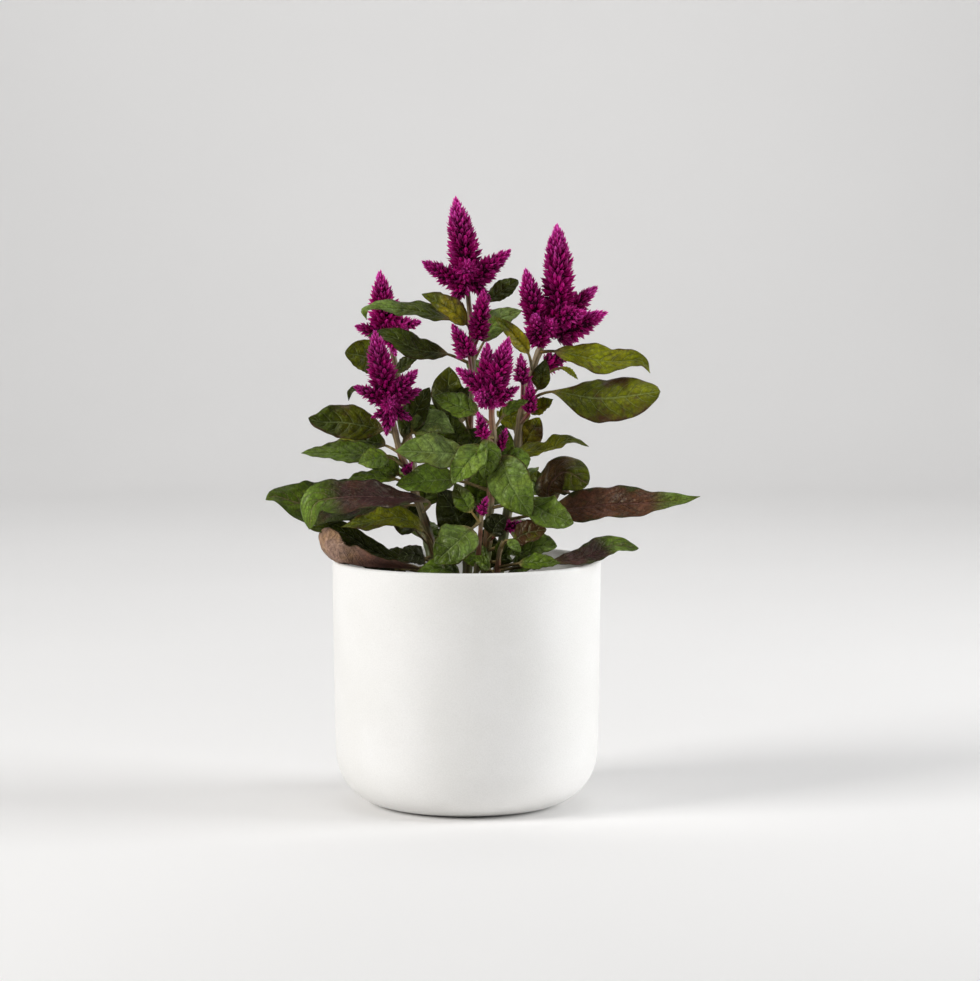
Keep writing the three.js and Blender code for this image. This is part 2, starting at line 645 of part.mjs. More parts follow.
        rib: [[-27, -14, 129], [-47, -19, 134], [-65, -21, 145], [-81, -24, 147]] },
    ],
  },
  e: {
    path: [
      [9, -13, 112], [11, -20, 140], [13, -26, 172], [14, -30, 193], [13, -32, 207], [14, -33, 220],
    ],
    radius: [2.5, 1.4],
    leaves: [
      { at: 180, width: 23, face: [-0.25, -0.9, 0.35], taper: 0.6, wide: true,
        rib: [[17, -34, 184], [23, -43, 171], [33, -44, 155]] },
      { at: 157, width: 20, face: [0.1, -0.8, 0.6], taper: 0.55, wide: true,
        rib: [[31, -34, 161], [42, -40, 156], [55, -38, 151]] },
      { at: 173, width: 13, face: [0.2, -0.8, 0.6], taper: 0.6,
        rib: [[20, -28, 182], [26, -30, 183], [31, -28, 176]] },
      { at: 180, width: 22, face: [0, -0.8, 0.6], taper: 0.65, wide: true,
        rib: [[-1, -30, 185], [-18, -36, 187], [-36, -38, 188]] },
      { at: 189, width: 17, face: [-0.35, -0.9, 0.25], taper: 0.6,
        rib: [[9, -38, 190], [2, -43, 184], [-7, -46, 172]] },
      { at: 194, width: 14, face: [0.3, -0.95, 0.2], taper: 0.6,
        rib: [[11, -38, 194], [11, -40, 186], [9, -40, 174]] },
      { at: 166, width: 19, face: [0, -0.75, 0.66], taper: 0.65,
        rib: [[-5, -28, 172], [-20, -31, 172], [-36, -33, 170]] },
      { at: 200, width: 15, face: [0, -0.8, 0.6], taper: 0.6,
        rib: [[6, -26, 206], [-4, -24, 210], [-17, -22, 215]] },
      { at: 197, width: 8, face: [0, -0.65, 0.76], taper: 0.7,
        rib: [[19, -24, 205], [25, -24, 210], [32, -24, 213]] },
      { at: 140, width: 13, face: [0, -0.85, 0.5], taper: 0.5,
        rib: [[13, -30, 144], [15, -32, 149], [20, -33, 154]] },
      { at: 134, width: 14, face: [0.1, -0.8, 0.6], taper: 0.5,
        rib: [[24, -36, 142], [31, -40, 146], [41, -40, 148]] },
      { at: 120, width: 15, face: [0, -0.8, 0.6], taper: 0.55,
        rib: [[11, -26, 127], [5, -28, 132], [-5, -30, 135]] },
      { at: 129, width: 13, face: [0.1, -0.8, 0.6], taper: 0.6,
        rib: [[17, -30, 131], [22, -34, 137], [28, -36, 135]] },
    ],
  },
  f: {
    path: [
      [16, -36, 112], [16, -38, 125], [17, -40, 136], [19, -41, 142],
    ],
    radius: [1.8, 1.0],
    steps: 3,
    leaves: [
      { at: 138, width: 6, face: [0, -0.8, 0.6],
        rib: [[21, -46, 143], [25, -48, 140], [28, -49, 137]] },
      { at: 128, width: 11, face: [0, -0.75, 0.66],
        rib: [[27, -45, 131], [38, -49, 132], [48, -51, 132]] },
      { at: 122, width: 7, face: [-0.2, -0.8, 0.6],
        rib: [[12, -46, 128], [8, -49, 132], [2, -50, 136]] },
    ],
  },
  g: {
    path: [
      [3, -34, 112], [6, -38, 132], [8, -42, 157],
    ],
    radius: [1.6, 1.0],
    steps: 3,
    leaves: [
      { at: 152, width: 23, face: [-0.35, -0.88, 0.3], taper: 0.6, wide: true,
        rib: [[3, -46, 149], [-5, -52, 142], [-16, -52, 132]] },
      { at: 151, width: 11, face: [-0.3, -0.8, 0.4],
        rib: [[3, -42, 157], [-1, -42, 163], [-6, -40, 172]] },
      { at: 116, width: 12, face: [0, -0.8, 0.6], taper: 0.6,
        rib: [[-3, -44, 124], [-13, -50, 129], [-25, -54, 127]] },
    ],
  },
};

const BRONZE_LEAVES = [
  {
    name: "left_long", stem: "d", at: 158, width: 28,
    face: [-0.05, -0.75, 0.66], taper: 0.6, widest: 0.6, wide: true,
    rib: [
      [-29, -14, 158], [-50, -16, 158], [-70, -22, 159], [-86, -26, 160], [-99, -28, 164], [-103, -28, 162],
    ],
  },
  {
    name: "left_bent", stem: "d", at: 154, width: 20,
    face: [0, -0.6, 0.8], taper: 0.5, widest: 0.7, wide: true, tipFace: [-0.6, -0.8, 0.2],
    rib: [
      [-19, -30, 161], [-41, -47, 165], [-61, -57, 166], [-76, -61, 163], [-79, -61, 150],
    ],
  },
  {
    name: "left_rim", stem: "d", at: 122, width: 21,
    face: [0, -0.1, 1], cup: 0.45, taper: 0.3, widest: 0.8, shoulder: 0.55,
    wide: true, tipFace: [0.6, 0.75, 0.1],
    rib: [
      [-24, -30, 127], [-41, -30, 128], [-57, -28, 129], [-68, -29, 133], [-72, -30, 139], [-70, -30, 148],
    ],
  },
  {
    name: "right_dome", stem: "b", at: 152, width: 22,
    face: [-0.1, -0.85, 0.5], cup: -0.25, taper: 0.4, widest: 0.55, wide: true,
    rib: [
      [42, -2, 157], [43, -6, 167], [51, -12, 175], [63, -16, 169],
    ],
  },
  {
    name: "right_long", stem: "b", at: 147, width: 21,
    face: [0, -0.8, 0.6], taper: 0.8, widest: 0.33, shoulder: 0.55, wide: true,
    rib: [
      [44, -8, 154], [69, -16, 158], [92, -24, 160], [111, -28, 162], [120, -30, 164],
    ],
  },
  {
    name: "right_rim", stem: "e", at: 123, width: 14,
    face: [0, -0.65, 0.76], taper: 0.5, widest: 0.6,
    rib: [
      [43, -40, 131], [61, -32, 133], [75, -24, 138], [89, -18, 136],
    ],
  },
];

// The spikes that make up each head, first the main plume, then the side spikes.
const HEADS = {
  a: [
    { root: [1, 10, 275], tip: [-6, 8, 318], radius: 8.3 },
    { root: [-5, 8, 273], tip: [-24, 2, 284], radius: 6.0 },
    { root: [5, 8, 275], tip: [24, 4, 290], radius: 6.7 },
    { root: [0, 8, 277], tip: [1, -12, 283], radius: 6.5 },
    { root: [0, 8, 274], tip: [-9, 4, 259], radius: 6.0 },
    { root: [2, 9, 274], tip: [13, 9, 262], radius: 5.6 },
    { root: [0, 14, 278], tip: [4, 34, 284], radius: 5.6 },
  ],
  b: [
    { root: [48, 4, 254], tip: [47, 2, 304], radius: 8.5 },
    { root: [37, 2, 251], tip: [30, -4, 281], radius: 7.1 },
    { root: [41, 4, 248], tip: [29, 10, 269], radius: 5.7 },
    { root: [49, 6, 254], tip: [69, 8, 271], radius: 6.4 },
    { root: [46, 0, 254], tip: [63, -12, 258], radius: 7.0 },
    { root: [48, 4, 245], tip: [74, -2, 258], radius: 7.6 },
    { root: [37, 0, 242], tip: [35, -14, 258], radius: 7.6 },
    { root: [42, 0, 248], tip: [44, -18, 253], radius: 6.6 },
    { root: [45, 12, 252], tip: [50, 32, 262], radius: 6.0 },
  ],
  c: [
    { root: [-43, 36, 249], tip: [-46, 34, 279], radius: 8.7 },
    { root: [-44, 36, 244], tip: [-60, 30, 249], radius: 6.2 },
    { root: [-41, 36, 248], tip: [-23, 28, 251], radius: 6.4 },
    { root: [-41, 38, 245], tip: [-26, 38, 242], radius: 5.4 },
    { root: [-42, 34, 246], tip: [-37, 30, 232], radius: 5.4 },
    { root: [-40, 34, 246], tip: [-31, 18, 249], radius: 5.6 },
    { root: [-43, 40, 248], tip: [-42, 58, 255], radius: 5.5 },
  ],
  d: [
    { root: [-41, -27, 214], tip: [-47, -30, 250], radius: 7.4 },
    { root: [-43, -28, 214], tip: [-58, -34, 221], radius: 5.2 },
    { root: [-38, -28, 215], tip: [-24, -32, 230], radius: 5.8 },
    { root: [-38, -28, 213], tip: [-22, -24, 219], radius: 5.4 },
    { root: [-39, -28, 211], tip: [-38, -46, 213], radius: 5.6 },
    { root: [-39, -28, 209], tip: [-49, -32, 204], radius: 5.2 },
    { root: [-39, -27, 209], tip: [-27, -29, 203], radius: 5.6 },
    { root: [-39, -27, 212], tip: [-37, -30, 199], radius: 5.4 },
    { root: [-41, -22, 214], tip: [-43, -6, 219], radius: 5.5 },
    { root: [-40, -27, 208], tip: [-41, -27, 194], radius: 5.6 },
  ],
  e: [
    { root: [13, -33, 214], tip: [22, -35, 247], radius: 6.6 },
    { root: [10, -32, 220], tip: [11, -30, 244], radius: 4.6 },
    { root: [10, -33, 218], tip: [-6, -36, 231], radius: 5.6 },
    { root: [11, -34, 215], tip: [5, -50, 217], radius: 7.0 },
    { root: [16, -33, 214], tip: [28, -34, 221], radius: 5.9 },
    { root: [13, -34, 213], tip: [16, -46, 212], radius: 4.6 },
    { root: [13, -28, 216], tip: [14, -12, 223], radius: 5.2 },
  ],
};

const SMALL_BLOOMS = [
  { stem: "a", at: 224, root: [1, 2, 235], tip: [-8, 1, 252], radius: 6.4 },
  { stem: "a", at: 236, root: [6, 5, 244], tip: [9, -3, 270], radius: 5.8 },
  { stem: "b", at: 227, root: [43, 10, 230], tip: [56, 14, 235], radius: 7.4 },
  { stem: "b", at: 205, root: [29, -4, 222], tip: [28, -6, 237], radius: 5.2 },
  { stem: "b", at: 198, root: [33, -2, 206], tip: [33, -4, 223], radius: 3.9 },
  { stem: "e", at: 191, root: [9, -38, 196], tip: [6, -41, 209], radius: 4 },
  { stem: "e", at: 185, root: [17, -28, 188], tip: [21, -30, 200], radius: 2.8 },
  { stem: "e", at: 140, root: [21, -30, 148], tip: [31, -31, 151], radius: 3.6 },
  { stem: "d", at: 172, root: [-31, -27, 177], tip: [-27, -27, 182], radius: 2.6 },
  { stem: "g", at: 155, root: [8, -42, 157], tip: [11, -44, 166], radius: 3.0 },
];

// ---- assembly ----
const group = new THREE.Group();

function place(name, geometry, meshMaterial) {
  const flat = geometry.toNonIndexed();
  flat.computeVertexNormals();
  const mesh = new THREE.Mesh(mergeVertices(flat, 1e-4), meshMaterial);
  mesh.name = name;
  group.add(mesh);
}

const stemRoots = Object.values(STEMS).map(({ path: [[x, y]], radius: [radius] }) => ({ x, y, radius }));
place("pot", potGeometry(), potMaterial);
place("soil", soilGeometry(stemRoots), soilMaterial);

for (const [name, stem] of Object.entries(STEMS)) {
  const leaves = stem.leaves.map((leaf, i) => leafSolid({ phase: i * 1.7, ...leaf }, stem));
  const own = SMALL_BLOOMS.filter((bloom) => bloom.stem === name);
  const stalks = own.map((bloom) => bloomStalk(bloom, stem));
  const whole = joined([stemTube(stem), ...leaves, ...stalks]);
  place(`leafy_stem_${name}`, meshGeometry(whole), leafMaterial);
}

// The short green stalk of a small side bloom, from the middle of the stem into the bloom's foot.
function bloomStalk(bloom, stem, grow = 0) {
  const attach = stemPointAt(stem, bloom.at).toArray();
  const depth = Math.min(0.3, 0.75 / bloom.radius);
  const inside = vec(bloom.root).lerp(vec(bloom.tip), depth).toArray();
  return tube([attach, bloom.root, inside], [1.1, 0.8], 4, 2, grow);
}

for (const { name, stem, ...leaf } of BRONZE_LEAVES) {
  const whole = leafSolid(leaf, STEMS[stem]);
  const seated = whole.subtract(stemTube(STEMS[stem], SEAT_GAP));
  place(`bronze_leaf_${name}`, meshGeometry(seated), bronzeMaterial);
}

for (const [name, spikes] of Object.entries(HEADS)) {
  const whole = joined(spikes.map((row, i) => spike(i === 0 ? { ...row, around: 7 } : row)));
  place(`bloom_head_${name}`, meshGeometry(whole.subtract(stemTube(STEMS[name], SEAT_GAP))), bloomMaterial);
}

SMALL_BLOOMS.forEach((bloom, i) => {
  const stem = STEMS[bloom.stem];
  const seats = bloomStalk(bloom, stem, SEAT_GAP).add(stemTube(stem, SEAT_GAP));
  const whole = spike(bloom).subtract(seats);
  place(`small_bloom_${i + 1}`, meshGeometry(whole), bloomMaterial);
});

export default group;
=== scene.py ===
import math

import bpy
import numpy as np
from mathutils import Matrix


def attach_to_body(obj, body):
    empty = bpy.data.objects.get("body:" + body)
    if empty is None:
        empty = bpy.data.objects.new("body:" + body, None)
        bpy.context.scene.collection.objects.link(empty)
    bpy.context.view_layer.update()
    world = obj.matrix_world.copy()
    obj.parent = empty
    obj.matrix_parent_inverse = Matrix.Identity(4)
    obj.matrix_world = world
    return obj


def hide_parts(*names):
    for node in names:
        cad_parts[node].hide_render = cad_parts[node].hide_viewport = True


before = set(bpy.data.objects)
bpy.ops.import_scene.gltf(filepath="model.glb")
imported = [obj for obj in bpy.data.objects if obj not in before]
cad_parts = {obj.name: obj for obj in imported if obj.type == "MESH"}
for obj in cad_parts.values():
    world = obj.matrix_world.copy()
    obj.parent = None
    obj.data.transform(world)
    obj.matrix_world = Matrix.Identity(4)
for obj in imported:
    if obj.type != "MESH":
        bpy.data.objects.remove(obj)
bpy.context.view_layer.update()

# A cockscomb celosia with magenta plumes, growing in a round white pot.
# Lengths in the tables are in millimetres; the meshes are in metres, +Z up, with the origin under the pot.

MM = 0.001
POT_HEIGHT = 128.5
POT_BODY_RADIUS = 68.4
POT_RIM_FLARE = 1.6
POT_FOOT_WIDTH = 29
POT_FOOT_HEIGHT = 28.3
POT_WALL = 3
POT_LIP = 1.4
SOIL_LEVEL = 108.5
SOIL_RADIUS = 65.1
SOIL_UNDERSIDE = 96.0
CRUMBS = 700
CRUMB_REACH = 62
STEM_ROOT_HEIGHT = 88
STEM_FOOT_HEIGHT = 112
PATH_STEPS = 48
PETIOLE_ROWS, BLADE_ROWS, COLUMNS = 7, 46, 27
BLADE_THICKNESS = 0.6
VEIN_SPACING = 6.0
GOLDEN_ANGLE = math.pi * (3 - math.sqrt(5))

# Leaf tones (all colours are 8-bit display colours). The 'shade' tone is painted shade for leaves deep inside the
# plant, and 'light' is painted light that brightens leaves the lamps leave in shade.
TONES = {
    "shade": (26, 31, 4),
    "dark": (46, 54, 6),
    "deep": (62, 76, 10),
    "olive": (80, 88, 4),
    "lime": (110, 116, 6),
    "mid": (74, 95, 20),
    "fresh": (88, 112, 34),
    "pale": (102, 126, 54),
    "light": (118, 140, 74),
    "yellow": (134, 126, 20),
    "bronze": (62, 36, 38),
    "rust": (96, 60, 46),
    "umber": (74, 52, 30),
    "pinkish": (138, 112, 94),
}
STEM_LOW = (86, 94, 50)
STEM_HIGH = (134, 116, 84)
STALK_TOP = (150, 60, 90)
PETIOLE = (128, 112, 74)
# Painted shade: the plume's core is dark so that it reads as shade between the florets.
FLORET_CORE_PAINTED_SHADE = (40, 0, 16)
# Painted shade: the foot of each floret is dark where it sits deep in the plume.
FLORET_FOOT_PAINTED_SHADE = (38, 0, 14)
FLORET_BODY = (160, 0, 100)
FLORET_TIP = (214, 18, 150)
# The florets' pale pink point: partly the tepals' own paler points, partly a painted highlight.
FLORET_POINT_AND_HIGHLIGHT = (250, 100, 214)
BACKDROP = (246, 245, 244)
# Painted light and shade: a factor on the colours of a head, lighter or darker than the others to stand in for the
# light that falls on it.
HEAD_PAINTED_LIGHT_AND_SHADE = {"c": 1.12, "d": 0.8, "e": 0.92}
# Painted light and shade on a floret: factors on the colour of its keels (painted highlight) and of the grooves
# between them (painted shade).
KEEL_PAINTED_HIGHLIGHT, GROOVE_PAINTED_SHADE = 1.12, 0.62
# The way that most of the leaves at the back face.
UPWARD = (0, -0.3, 0.95)


# ---- tables ----
def leaf(at, width, face, look, rib, taper=0.75, **shape):
    """A leaf: its height on the stem, its width, the way its upper face looks, its tone (with its tip's
    tone and its share of blotches, where it has them), its rib from stalk to tip, how drawn out its tip
    is, and how else it departs from a plain leaf."""
    tone, *rest = (look,) if isinstance(look, str) else look
    tip_tone = rest.pop(0) if rest and isinstance(rest[0], str) else tone
    row = {"at": at, "width": width, "face": face, "tone": tone, "tip_tone": tip_tone, "blotch": sum(rest)}
    return {**row, "rib": rib, "taper": taper, **shape}


def stem(path, radius, *leaves):
    """A stem: its path, its radius at soil and tip, and its leaves."""
    return {"path": path, "radius": radius, "leaves": leaves}


# Stems by name. A point is (x, y, z): x to the right, y to the back, z up from under the pot.
STEMS = {}
STEMS["a"] = stem(
    [(0, 9, 112), (1, 10, 137), (1, 12, 174), (2, 12, 211), (3, 12, 237), (1, 12, 263), (-1, 12, 283)], (2.7, 1.1),
    leaf(244, 13.5, (-0.25, -0.8, 0.55), ("yellow", "olive", 0.3), [(0, 3, 251), (-9, -4, 259), (-23, -12, 267)],
         0.6, cup=0.35),
    leaf(250, 16, (0, -0.5, 0.87), ("deep", "pale", 0.15),
         [(-8, 14, 253), (-32, 12, 258), (-49, 8, 259), (-53, 6, 258), (-52, 5, 253)]),
    leaf(229, 16, (0, -0.7, 0.7), ("dark", "deep", 0.15),
         [(-10, 8, 235), (-27, 2, 238), (-40, 0, 245), (-52, -2, 245)]),
    leaf(254, 11, (0.3, -0.6, 0.7), ("deep", 0.25), [(11, 18, 262), (19, 22, 268), (27, 24, 273)], 0.45,
         widest=0.55),
    leaf(229, 15, (0.1, -0.8, 0.6), ("pale", "light"), [(9, 20, 241), (15, 28, 251), (29, 32, 257)], 0.7),
    leaf(194, 20, (-0.1, -0.95, 0.3), ("dark", "olive", 0.1), [(-2, 4, 206), (-9, 0, 215), (-9, -2, 229)], 0.6,
         widest=0.35, wave=0.2),
    leaf(184, 10, (-0.3, -0.9, 0.3), ("mid", "olive", 0.2), [(-15, -4, 202), (-26, -8, 209), (-30, -8, 218)],
         cup=0.4),
    leaf(135, 22, (-0.2, -0.9, 0.4), ("dark", 0.1), [(-1, -8, 143), (-6, -14, 154), (-14, -16, 167)], 0.7),
    leaf(174, 20, (-0.2, -0.85, 0.5), ("fresh", "pale", 0.1), [(-8, 6, 185), (-18, 2, 196), (-25, 0, 211)], 0.55),
    leaf(169, 18, (0.2, -0.85, 0.5), ("fresh", "mid", 0.1), [(9, 4, 176), (16, 0, 186), (19, -4, 199)], 0.55),
    leaf(152, 18, (0.2, -0.8, 0.6), ("mid", "fresh", 0.1), [(10, 2, 159), (15, -4, 166), (24, -8, 164)], 0.55),
    leaf(126, 15, (-0.2, -0.8, 0.6), ("mid", 0.1), [(-8, 2, 132), (-13, 0, 138), (-19, -2, 143)], 0.6),
    leaf(174, 16, (-0.2, -0.85, 0.5), ("mid", "pale", 0.1), [(-3, 4, 190), (-11, 4, 197), (-21, 4, 209)], 0.55),
    leaf(219, 16, UPWARD, "mid", [(4, 28, 224), (9, 44, 229), (10, 58, 226)]),
    leaf(192, 20, UPWARD, ("deep", 0.1), [(-3, 28, 198), (-9, 44, 207), (-15, 60, 203)]),
    leaf(163, 22, UPWARD, "mid", [(2, 30, 169), (4, 48, 178), (6, 66, 174)]),
    leaf(137, 24, UPWARD, ("deep", 0.1), [(1, 28, 143), (-1, 48, 151), (-2, 70, 146)]),
    leaf(158, 15, (0, -0.95, 0.2), "mid", [(4, 0, 158), (6, -6, 166), (6, -10, 176)]),
    leaf(117, 14, (0.1, -0.9, 0.3), ("dark", "shade"), [(8, -6, 125), (11, -12, 134), (9, -16, 146)], 0.6),
    leaf(178, 16, (0.1, -0.9, 0.3), "deep", [(1, 0, 186), (5, -4, 191), (9, -6, 198)], 0.6),
    leaf(185, 14, (-0.1, -0.9, 0.3), "deep", [(-4, 0, 187), (-5, -4, 194), (-7, -8, 202)], 0.6),
)
STEMS["b"] = stem(
    [(16, 15, 112), (19, 14, 137), (25, 10, 174), (29, 8, 206), (35, 6, 229), (41, 5, 245), (45, 5, 261)],
    (2.9, 1.5),
    leaf(226, 9, (-0.3, -0.85, 0.4), ("yellow", "olive", 0.3), [(32, -6, 236), (24, -14, 247), (14, -18, 256)], 0.7,
         cup=0.5),
    leaf(236, 18, (0.1, -0.75, 0.65), ("lime", 0.25),
         [(46, -2, 237), (72, -8, 232), (91, -10, 232), (95, -10, 226)], 0.8),
    leaf(209, 26, (0.05, -0.85, 0.5), ("olive", "lime", 0.36), [(43, -4, 216), (69, -12, 213), (100, -16, 217)],
         0.4, cup=-0.15, widest=0.5, shoulder=1.3),
    leaf(181, 16, (0, -0.4, 0.9), ("lime", "olive", 0.15),
         [(24, -12, 185), (41, -18, 187), (53, -20, 192), (63, -22, 189)]),
    leaf(219, 4, (0, -0.7, 0.7), "lime", [(49, 4, 228), (54, 4, 226), (58, 4, 222)]),
    leaf(201, 11, (0, -0.75, 0.65), ("lime", "olive", 0.1), [(33, 4, 205), (39, 2, 208), (45, 0, 212)]),
    leaf(189, 13, (0, -0.95, 0.3), ("lime", "olive", 0.2), [(25, 16, 195), (23, 18, 203), (24, 20, 211)]),
    leaf(123, 19, (0.1, -0.7, 0.7), ("mid", "pale", 0.1), [(25, 2, 128), (36, -4, 135), (47, -8, 136)], 0.55),
    leaf(180, 14, (0.2, -0.85, 0.5), ("yellow", "lime", 0.4), [(29, 10, 187), (33, 8, 193), (38, 6, 202)], 0.55),
    leaf(112, 15, (0, -0.75, 0.65), ("mid", 0.1), [(22, -2, 121), (29, -10, 126), (39, -16, 129)], 0.55),
    leaf(187, 18, UPWARD, ("lime", 0.1), [(26, 26, 194), (24, 42, 201), (22, 56, 197)]),
    leaf(158, 22, UPWARD, "pale", [(25, 28, 164), (28, 46, 171), (30, 62, 167)]),
    leaf(131, 20, UPWARD, "mid", [(26, 30, 136), (32, 46, 142), (38, 62, 139)]),
    leaf(215, 10, (0, -0.95, 0.2), ("olive", "dark", 0.1), [(37, 2, 217), (39, 0, 225), (41, -2, 233)]),
    leaf(158, 13, (0.2, -0.9, 0.3), ("mid", "olive"), [(32, 6, 163), (36, 9, 167), (37, 9, 174)], 0.6),
)
STEMS["c"] = stem(
    [(-15, 25, 112), (-21, 30, 135), (-28, 34, 172), (-34, 36, 209), (-40, 36, 238), (-43, 36, 256)], (2.6, 1.3),
    leaf(223, 19, (-0.1, -0.9, 0.4), ("olive", 0.15), [(-45, 28, 229), (-54, 24, 233), (-64, 20, 235)], 0.5,
         wave=0.06),
    leaf(216, 8, (0.1, -0.8, 0.6), ("dark", 0.2), [(-37, 30, 224), (-32, 28, 229), (-25, 26, 234)], 0.7),
    leaf(207, 6, (0, -0.6, 0.8), ("dark", 0.2), [(-47, 26, 213), (-57, 20, 216), (-61, 18, 215), (-62, 17, 210)]),
    leaf(120, 11, (0, -0.7, 0.7), ("dark", "shade", 0.1), [(-28, 4, 128), (-37, 0, 130), (-47, -2, 129)]),
    leaf(122, 15, (0.4, -0.8, 0.5), ("shade", 0.2), [(-36, -5, 124), (-51, -8, 130), (-65, -10, 144)], 0.5,
         widest=0.55, wave=0.03),
    leaf(182, 18, (0.2, -0.85, 0.5), ("light", "mid", 0.1), [(-22, 28, 190), (-15, 24, 199), (-11, 20, 212)], 0.55),
    leaf(188, 18, UPWARD, ("olive", 0.1), [(-29, 50, 195), (-27, 64, 202), (-26, 78, 198)]),
    leaf(156, 20, UPWARD, "fresh", [(-26, 48, 163), (-31, 64, 169), (-33, 80, 164)]),
    leaf(127, 18, UPWARD, ("deep", 0.1), [(-22, 46, 134), (-25, 58, 140), (-29, 70, 137)]),
    leaf(133, 18, (0, -0.9, 0.4), ("dark", 0.1), [(-27, 10, 143), (-32, 4, 151), (-35, 0, 158)], 0.6),
    leaf(117, 13, (0, -0.7, 0.7), ("shade", 0.3), [(-32, 4, 123), (-39, -2, 126), (-49, -6, 124)], 0.6),
)
STEMS["d"] = stem(
    [(-12, -9, 112), (-20, -14, 145), (-29, -20, 172), (-35, -24, 190), (-38, -26, 204), (-41, -27, 217)],
    (2.5, 1.4),
    leaf(196, 21, (-0.1, -0.85, 0.5), ("olive", "deep", 0.3),
         [(-43, -16, 197), (-62, -20, 201), (-76, -24, 202), (-81, -25, 204)], 0.55, widest=0.5),
    leaf(185, 14, (0, -0.8, 0.6), ("deep", "lime", 0.2), [(-42, -14, 189), (-53, -10, 191), (-67, -8, 191)], 0.6),
    leaf(180, 18, (0, -0.55, 0.83), ("mid", "fresh", 0.05),
         [(-42, -28, 185), (-62, -34, 186), (-76, -38, 187), (-84, -40, 187)]),
    leaf(177, 14, (-0.4, -0.8, 0.4), ("fresh", "pale", 0.1), [(-40, -38, 185), (-47, -42, 184), (-55, -44, 182)]),
    leaf(170, 12, (0, -0.85, 0.5), "mid", [(-35, -26, 175), (-41, -30, 180), (-49, -32, 179)], 0.6),
    leaf(165, 13, (0, -0.5, 0.87), ("fresh", "pale"), [(-36, -32, 173), (-50, -30, 173), (-66, -31, 169)]),
    leaf(188, 16, (0.1, -0.8, 0.6), "light", [(-28, -22, 196), (-18, -20, 201), (-6, -20, 196)], 0.7),
    leaf(131, 17, (0, -0.6, 0.8), ("lime", "olive", 0.3),
         [(-22, -28, 146), (-34, -32, 153), (-50, -36, 151), (-64, -38, 149)]),
    leaf(124, 11, (0, -0.85, 0.5), ("shade", 0.1), [(-21, -34, 132), (-28, -40, 135), (-35, -42, 133)], 0.5),
    leaf(183, 15, (-0.2, -0.9, 0.35), ("deep", "dark", 0.1), [(-32, -20, 193), (-28, -18, 203), (-19, -14, 219)],
         0.55),
    leaf(150, 16, (-0.2, -0.9, 0.3), ("deep", "mid"), [(-22, -10, 156), (-21, -8, 163), (-18, -8, 171)]),
    leaf(131, 12, (0, -0.75, 0.66), ("dark", "deep", 0.2),
         [(-27, -14, 129), (-47, -19, 134), (-65, -21, 145), (-81, -24, 147)], 0.5, widest=0.6),
)
STEMS["e"] = stem(
    [(9, -13, 112), (11, -20, 140), (13, -26, 172), (14, -30, 193), (13, -32, 207), (14, -33, 220)], (2.5, 1.4),
    leaf(180, 23, (-0.25, -0.9, 0.35), ("pale", "fresh"), [(17, -34, 184), (23, -43, 171), (33, -44, 155)], 0.6),
    leaf(157, 20, (0.1, -0.8, 0.6), ("fresh", 0.1), [(31, -34, 161), (42, -40, 156), (55, -38, 151)], 0.55),
    leaf(173, 13, (0.2, -0.8, 0.6), "fresh", [(20, -28, 182), (26, -30, 183), (31, -28, 176)], 0.6),
    leaf(180, 22, (0, -0.8, 0.6), ("light", "pale"), [(-1, -30, 185), (-18, -36, 187), (-36, -38, 188)], 0.65),
    leaf(189, 17, (-0.35, -0.9, 0.25), ("pale", "fresh"), [(9, -38, 190), (2, -43, 184), (-7, -46, 172)], 0.6),
    leaf(194, 14, (0.3, -0.95, 0.2), "fresh", [(11, -38, 194), (11, -40, 186), (9, -40, 174)], 0.6),
    leaf(166, 19, (0, -0.75, 0.66), "fresh", [(-5, -28, 172), (-20, -31, 172), (-36, -33, 170)], 0.65),
    leaf(200, 15, (0, -0.8, 0.6), ("fresh", "mid", 0.15), [(6, -26, 206), (-4, -24, 210), (-17, -22, 215)], 0.6),
    leaf(197, 8, (0, -0.65, 0.76), "fresh", [(19, -24, 205), (25, -24, 210), (32, -24, 213)], 0.7),
    leaf(140, 13, (0, -0.85, 0.5), ("shade", 0.1), [(13, -30, 144), (15, -32, 149), (20, -33, 154)], 0.5),
    leaf(134, 14, (0.1, -0.8, 0.6), ("olive", "lime", 0.6), [(24, -36, 142), (31, -40, 146), (41, -40, 148)], 0.5),
    leaf(120, 15, (0, -0.8, 0.6), ("mid", 0.1), [(11, -26, 127), (5, -28, 132), (-5, -30, 135)], 0.55),
    leaf(129, 13, (0.1, -0.8, 0.6), "mid", [(17, -30, 131), (22, -34, 137), (28, -36, 135)], 0.6),
)
STEMS["f"] = stem(
    [(16, -36, 112), (16, -38, 125), (17, -40, 136), (19, -41, 142)], (1.8, 1.0),
    leaf(138, 6, (0, -0.8, 0.6), ("pale", "fresh"), [(21, -46, 143), (25, -48, 140), (28, -49, 137)]),
    leaf(128, 11, (0, -0.75, 0.66), "mid", [(27, -45, 131), (38, -49, 132), (48, -51, 132)]),
    leaf(122, 7, (-0.2, -0.8, 0.6), "fresh", [(12, -46, 128), (8, -49, 132), (2, -50, 136)]),
)
STEMS["g"] = stem(
    [(3, -34, 112), (6, -38, 132), (8, -42, 157)], (1.6, 1.0),
    leaf(152, 23, (-0.35, -0.88, 0.3), ("pale", "mid", 0.1), [(3, -46, 149), (-5, -52, 142), (-16, -52, 132)], 0.6),
    leaf(151, 11, (-0.3, -0.8, 0.4), ("mid", "dark"), [(3, -42, 157), (-1, -42, 163), (-6, -40, 172)]),
    leaf(116, 12, (0, -0.8, 0.6), ("mid", 0.3), [(-3, -44, 124), (-13, -50, 129), (-25, -54, 127)], 0.6),
)

